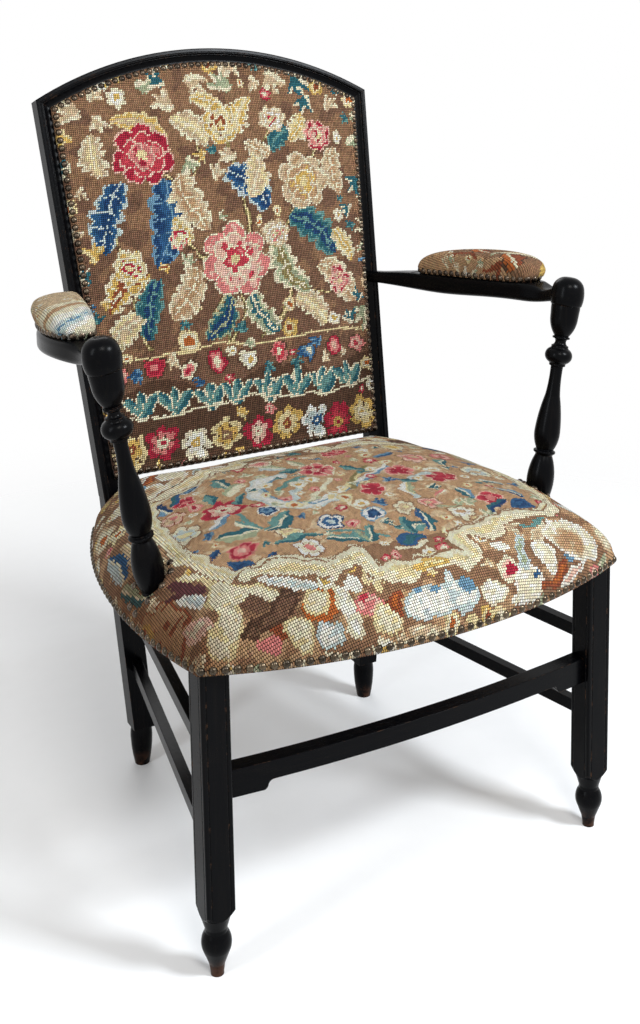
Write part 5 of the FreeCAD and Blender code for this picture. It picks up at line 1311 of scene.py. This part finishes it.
def pad_form(side):
    front, rear = PAD_FRONT_Y, PAD_REAR_Y
    middle = (front + rear) / 2
    end, wide = PAD_END_HALF_WIDTH, PAD_HALF_WIDTH
    spots = [(front + PAD_END_ROUND, -end), (front, 0), (front + PAD_END_ROUND, end), (middle, wide),
             (rear - PAD_END_ROUND, end), (rear, 0), (rear - PAD_END_ROUND, -end), (middle, -wide)]
    p = [(pad_line(y) + aside, y) for y, aside in spots]
    rings = [arc_points(p[0], p[1], p[2]), arc_points(p[2], p[3], p[4]),
             arc_points(p[4], p[5], p[6]), arc_points(p[6], p[7], p[0])]
    outline = np.concatenate([ring[:-1] for ring in rings]) - (pad_line(middle), middle)
    outline[:, 0] *= side
    slope = (PAD_REAR_Z - PAD_FRONT_Z) / (rear - front)
    origin = (side * pad_line(middle), middle, (PAD_FRONT_Z + PAD_REAR_Z) / 2)
    axes = ((1, 0, 0), (0, 1, slope), (0, 0, 1))
    return Form(outline, smooth_path(PAD_SECTION, 7).T, PAD_HEIGHT * PAD_FULLNESS, origin, axes)


# rings on the left pad, from its rear to its front end: reach in millimetres, wool
PAD_RINGS = (
    (96, "cream"), (84, "tan"), (76, "cream"), (66, "white"), (57, "pale"), (52.5, "sky"), (51, "pale"),
    (46, "white"), (40, "cream"), (22, "sage"), (16, "cream"),
)


def pad_pattern(spots, side):
    # the right pad is worked in darker wools than the left: partly their own colour, partly painted shade
    chart = Chart(spots, "fawn" if side < 0 else "brown", 40 + side)
    u, v = chart.u * side, chart.v
    if side < 0:
        ring = np.hypot(u + 6, (v + 152) * 0.9) + 5 * np.sin(u / 11)
        for reach, wool in PAD_RINGS:
            chart.lay(ring < reach, wool)
        chart.lay((u > 47 + 5 * np.sin(v / 15)) & (v < 10), "tan")
        chart.lay((u > 54 + 4 * np.sin(v / 13)) & (v < 0), "orange")
    else:
        sway = u + 10 * np.sin(v / 34 + 0.6)
        chart.lay(sway > 16, "gold")
        chart.lay(sway < -24, "tan")
        for along in (-70, 6, 72):
            chart.leaf((-10, along - 30), (16, along + 26), 26, "rust", "orange", 7, "umber")
            chart.leaf((26, along - 22), (-8, along + 36), 18, "fawn", "cream", -6, "umber")
            chart.stem([(-30, along - 24), (-22, along), (-34, along + 24)], 5, "rust")
    chart.filled(90, (5, 9), (1, 5, 8, 10), v > -60, 2.0)
    return chart.worked(0.1)


def arm_pad(hand, side, finish):
    start = pad_form(side)
    swell = swollen(start, PAD_PITCH * 2, pressure=1.5, most=0.004)
    canvas = Canvas(start, PAD_PITCH)
    points = start.laid(canvas.flat) + swell_at(swell, canvas.flat)
    off = points - start.origin
    high, outer = ramp(off[:, 2] / PAD_HEIGHT, 0.1, 0.5), ramp(side * off[:, 0], -0.01, 0.03)
    points[:, 0] += side * PAD_LEAN * high * outer
    along = (points[:, 1] - PAD_FRONT_Y) / (PAD_REAR_Y - PAD_FRONT_Y)
    rise = points[:, 2] - PAD_FRONT_Z - (PAD_REAR_Z - PAD_FRONT_Z) * along
    drop = np.where(along > 0.5, PAD_REAR_DROP, PAD_FRONT_DROP) * np.abs(2 * along - 1).clip(0, 1) ** 3
    points[:, 2] -= rise.clip(0) * drop
    points = pinned(points, (f"arm_pad_nails_{hand}",), reach=0.008)
    nodes = (f"arm_pad_cover_{hand}", f"arm_pad_stuffing_{hand}")
    padded_cover(f"arm_pad_needlework_{hand}", start, canvas, points, pad_pattern(canvas.middles, side),
                 finish, nodes)


# Cloths and straps under the cover

def sheet_piece(name, node, points, faces, weave, finish):
    """cloth or straps in place of a CAD node, with the weave measured on the flat"""
    mesh = bpy.data.meshes.new(name)
    mesh.from_pydata([tuple(p) for p in points], [], faces)
    layer = mesh.uv_layers.new(name="weave")
    ends = np.concatenate([poly.vertices for poly in mesh.polygons])
    layer.data.foreach_set("uv", np.asarray(weave)[ends].ravel())
    mesh.polygons.foreach_set("use_smooth", [True] * len(mesh.polygons))
    mesh.materials.append(finish)
    piece = bpy.data.objects.new(name, mesh)
    bpy.context.collection.objects.link(piece)
    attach(piece, "root")
    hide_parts(node)
    return piece


def stretched_sheet(name, node, outline, to_place, finish, thick):
    """flat cloth cut to an outline and nailed out tight, with its own thickness"""
    low, high = outline.min(0), outline.max(0)
    form = Form(outline - (low + high) / 2, ((0, 1), (0, 0)), 0.0, (0, 0, 0), np.eye(3))
    canvas = Canvas(form, SHEET_STEP)
    flat = canvas.flat + (low + high) / 2
    piece = sheet_piece(name, node, to_place(flat), canvas.faces, flat, finish)
    grow = piece.modifiers.new("thickness", "SOLIDIFY")
    grow.thickness = thick
    grow.offset = 0


def strap_strips(node, to_flat, to_place, name, finish):
    """webbing: straps laid where the CAD has them, over and under each other"""
    points, faces, weave = [], [], []
    strips = [to_flat(group) for group in islands(node)]
    boxes = [(s.min(0), s.max(0)) for s in strips]
    middles = [(low + high) / 2 for low, high in boxes]
    runs = [0 if high[0] - low[0] > high[1] - low[1] else 1 for low, high in boxes]
    level = np.mean([middle[2] for middle in middles])
    for strip, (low, high), middle, run in zip(strips, boxes, middles, runs):
        side = 1 - run
        lanes = np.linspace(low[side], high[side], STRAP_LANES)
        ends = [strip[strip[:, run] < middle[run]], strip[strip[:, run] > middle[run]]]
        first, last = (np.interp(lanes, *e[np.argsort(e[:, side])][:, [side, run]].T) for e in ends)
        count = int((high[run] - low[run]) / STRAP_STEP)
        crossing = sorted(m[run] for m, way in zip(middles, runs) if way != run)
        order = sorted(m[side] for m, way in zip(middles, runs) if way == run)
        sign = 1 if order.index(middle[side]) % 2 == run else -1
        for face_side in (1, -1):
            base = len(points)
            for share in np.linspace(0, 1, count):
                for k, edge in enumerate(lanes):
                    at = first[k] + (last[k] - first[k]) * share
                    bends = [math.exp(-((at - c) / STRAP_BEND) ** 2) for c in crossing]
                    wave = sum(bends[::2]) - sum(bends[1::2])
                    half = STRAP_THICKNESS / (2 if 0 < k < STRAP_LANES - 1 else 4)
                    spot = [0.0, 0.0, level + sign * wave * STRAP_WEAVE + face_side * half]
                    spot[run], spot[side] = at, edge
                    points.append(spot)
                    weave.append((edge - middle[side], at))
            for i in range(count - 1):
                for k in range(STRAP_LANES - 1):
                    near, far = base + i * STRAP_LANES + k, base + (i + 1) * STRAP_LANES + k
                    ring = [near, near + 1, far + 1, far]
                    faces.append(ring if (face_side > 0) == (run == 0) else ring[::-1])
    sheet_piece(name, node, to_place(np.array(points)), faces, weave, finish)


def plan_hull(points):
    """outline of points in plan, counter-clockwise"""
    order = sorted({(round(x, 5), round(y, 5)) for x, y in points[:, :2].tolist()})
    rows = []
    for run in (order, order[::-1]):
        chain = []
        for p in run:
            while len(chain) > 1 and np.cross(np.subtract(chain[-1], chain[-2]),
                                              np.subtract(p, chain[-2])) <= 0:
                chain.pop()
            chain.append(p)
        rows += chain[:-1]
    ring = np.array(rows)
    return np.concatenate([np.linspace(a, b, 12)[:-1] for a, b in zip(ring, np.roll(ring, -1, axis=0))])


def level_with(flat, height):
    """flat points with a third measure that is the same for all"""
    return np.column_stack([flat, np.full(len(flat), height)])


def under_cloths():
    stripe = ((0.016, 0.019), tone(96, 58, 44))
    jute = woven_cloth("webbing", tone(176, 148, 104), tone(92, 70, 46), 0.0022, stripe)
    sacking = woven_cloth("hessian", tone(170, 138, 94), tone(86, 64, 40), 0.0016)
    strap_strips("seat_webbing", np.asarray, np.asarray, "seat_webbing_straps", jute)
    strap_strips("back_webbing", to_back, from_back, "back_webbing_straps", jute)
    seat_low, seat_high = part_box("seat_hessian")
    level = (seat_low[2] + seat_high[2]) / 2
    stretched_sheet("seat_hessian_cloth", "seat_hessian", plan_hull(np.concatenate(islands("seat_hessian"))),
                    lambda flat: level_with(flat, level), sacking, HESSIAN_THICKNESS)
    spots = to_back(np.concatenate(islands("back_hessian")))
    stretched_sheet("back_hessian_cloth", "back_hessian", plan_hull(spots),
                    lambda flat: from_back(level_with(flat, spots[:, 2].mean())), sacking,
                    HESSIAN_THICKNESS)
    brown = woven_cloth("outside_cloth", tone(118, 92, 70), tone(58, 42, 32), 0.0011)
    stretched_sheet("outside_back_cloth", "outside_back_cover", back_outline(OUTSIDE_INSET, OUTSIDE_LOW),
                    lambda flat: from_back(level_with(flat, -OUTSIDE_DEPTH)), brown,
                    OUTSIDE_THICKNESS)


# Finishes of the frame's own pieces

def finish_frame():
    black = {axis: ebonised_wood(axis) for axis in "xyz"}
    plain = frame_wood()
    back_brass = nail_brass("nail_brass_back", (0.16, 0.118, 0.078), (0.024, 0.018, 0.014))
    seat_brass = nail_brass("nail_brass_seat", (0.13, 0.097, 0.062), (0.02, 0.016, 0.012))
    dark_brass = nail_brass("nail_brass_small", (0.13, 0.096, 0.066), (0.03, 0.023, 0.018))
    steel = screw_steel()
    for name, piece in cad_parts.items():
        if "nails" in name:
            finish = {"back": back_brass, "outs": back_brass, "seat": seat_brass}.get(name[:4], dark_brass)
        elif name == "corner_block_screws":
            finish = steel
        elif name.startswith(("seat_rail", "corner_block", "lower_back_rail")):
            finish = plain
        elif name.startswith(("crest", "front_stretcher", "rear_stretcher")):
            finish = black["x"]
        elif "stretcher" in name or name in ("arm_left", "arm_right"):
            finish = black["y"]
        else:
            finish = black["z"]
        if piece.type == "MESH":
            piece.data.materials.clear()
            piece.data.materials.append(finish)


# Floor, light and camera

FLOOR_REACH = 6.0
FLOOR_FADE = (1.9, 0.6)
SKY_LEVEL = 0.42

# lamps: place, aim, width, height, power in watts, colour
LAMPS = {
    "window_light": ((1.45, -2.15, 2.3), (0, 0, 0.55), 0.7, 0.7, 92, (0.9, 0.95, 1.0)),
    "front_light": ((-0.6, -2.4, 3.0), (0, 0, 0.5), 1.0, 1.0, 42, (1.0, 0.98, 0.95)),
    "left_window_light": ((-2.4, -0.8, 1.6), (0, 0, 0.6), 0.35, 1.6, 20, (0.88, 0.94, 1.0)),
    "back_light": ((0.6, 2.4, 2.4), (0, 0, 0.7), 1.4, 1.4, 20, (1.0, 1.0, 1.0)),
}


def stage():
    mesh = bpy.data.meshes.new("floor")
    corners = [(x * FLOOR_REACH, y * FLOOR_REACH, 0) for x, y in ((-1, -1), (1, -1), (1, 1), (-1, 1))]
    mesh.from_pydata(corners, [], [(0, 1, 2, 3)])
    floor = bpy.data.objects.new("floor", mesh)
    bpy.context.collection.objects.link(floor)
    paper = Finish("floor_paper", Roughness=0.95, Specular_IOR_Level=0.08)
    place = paper.place()
    far = place.made("VectorMath", {"operation": "LENGTH"}, {0: place}, "Value")
    shade = place.noise(30, 3).mixed((0.93, 0.93, 0.93), (0.96, 0.96, 0.96))
    paper.feed(Base_Color=shade, Alpha=far.step(*FLOOR_FADE))
    mesh.materials.append(paper.material)
    world = bpy.data.worlds.new("studio")
    world.use_nodes = True
    tree = world.node_tree
    glow = tree.nodes["Background"]
    glow.inputs["Color"].default_value = (1, 1, 1, 1)
    kinds = ("Camera", "Glossy", "Transmission")
    direct, mirrored_ray, through = (Shade(tree).made("LightPath", out=f"Is {kind} Ray") for kind in kinds)
    seen = (direct + mirrored_ray + through).bent("MINIMUM", 1.0)
    tree.links.new((SKY_LEVEL + seen * (1 - SKY_LEVEL)).socket, glow.inputs["Strength"])
    bpy.context.scene.world = world
    for name, (place, aim, wide, high, power, colour) in LAMPS.items():
        lamp = bpy.data.lights.new(name, "AREA")
        lamp.shape = "RECTANGLE"
        lamp.size, lamp.size_y = wide, high
        lamp.energy = power
        lamp.color = colour
        holder = bpy.data.objects.new(name, lamp)
        holder.location = place
        holder.rotation_euler = (Vector(aim) - Vector(place)).to_track_quat("-Z", "Y").to_euler()
        bpy.context.collection.objects.link(holder)


# the photograph's view: the camera's place and its own three directions
CAMERA_PLACE = (-0.8022, -1.4860, 1.0538)
CAMERA_RIGHT = (0.87464, -0.48449, -0.01657)
CAMERA_UP = (0.07852, 0.10785, 0.99106)
CAMERA_AHEAD = (0.47837, 0.86813, -0.13237)


def camera():
    lens = bpy.data.cameras.new("camera")
    lens.sensor_width = 36
    lens.lens = 43.75
    lens.shift_x = 0.0015
    lens.shift_y = -0.2811
    eye = bpy.data.objects.new("camera", lens)
    turn = Matrix((CAMERA_RIGHT, CAMERA_UP, -Vector(CAMERA_AHEAD))).transposed()
    eye.matrix_world = Matrix.Translation(CAMERA_PLACE) @ turn.to_4x4()
    bpy.context.collection.objects.link(eye)
    bpy.context.scene.camera = eye


finish_frame()
seat()
back()
pad_wool = needlework("arm_needlework")
arm_pad("right", 1, pad_wool)
arm_pad("left", -1, pad_wool)
under_cloths()
stage()
camera()
bpy.context.scene.view_settings.view_transform = "Standard"
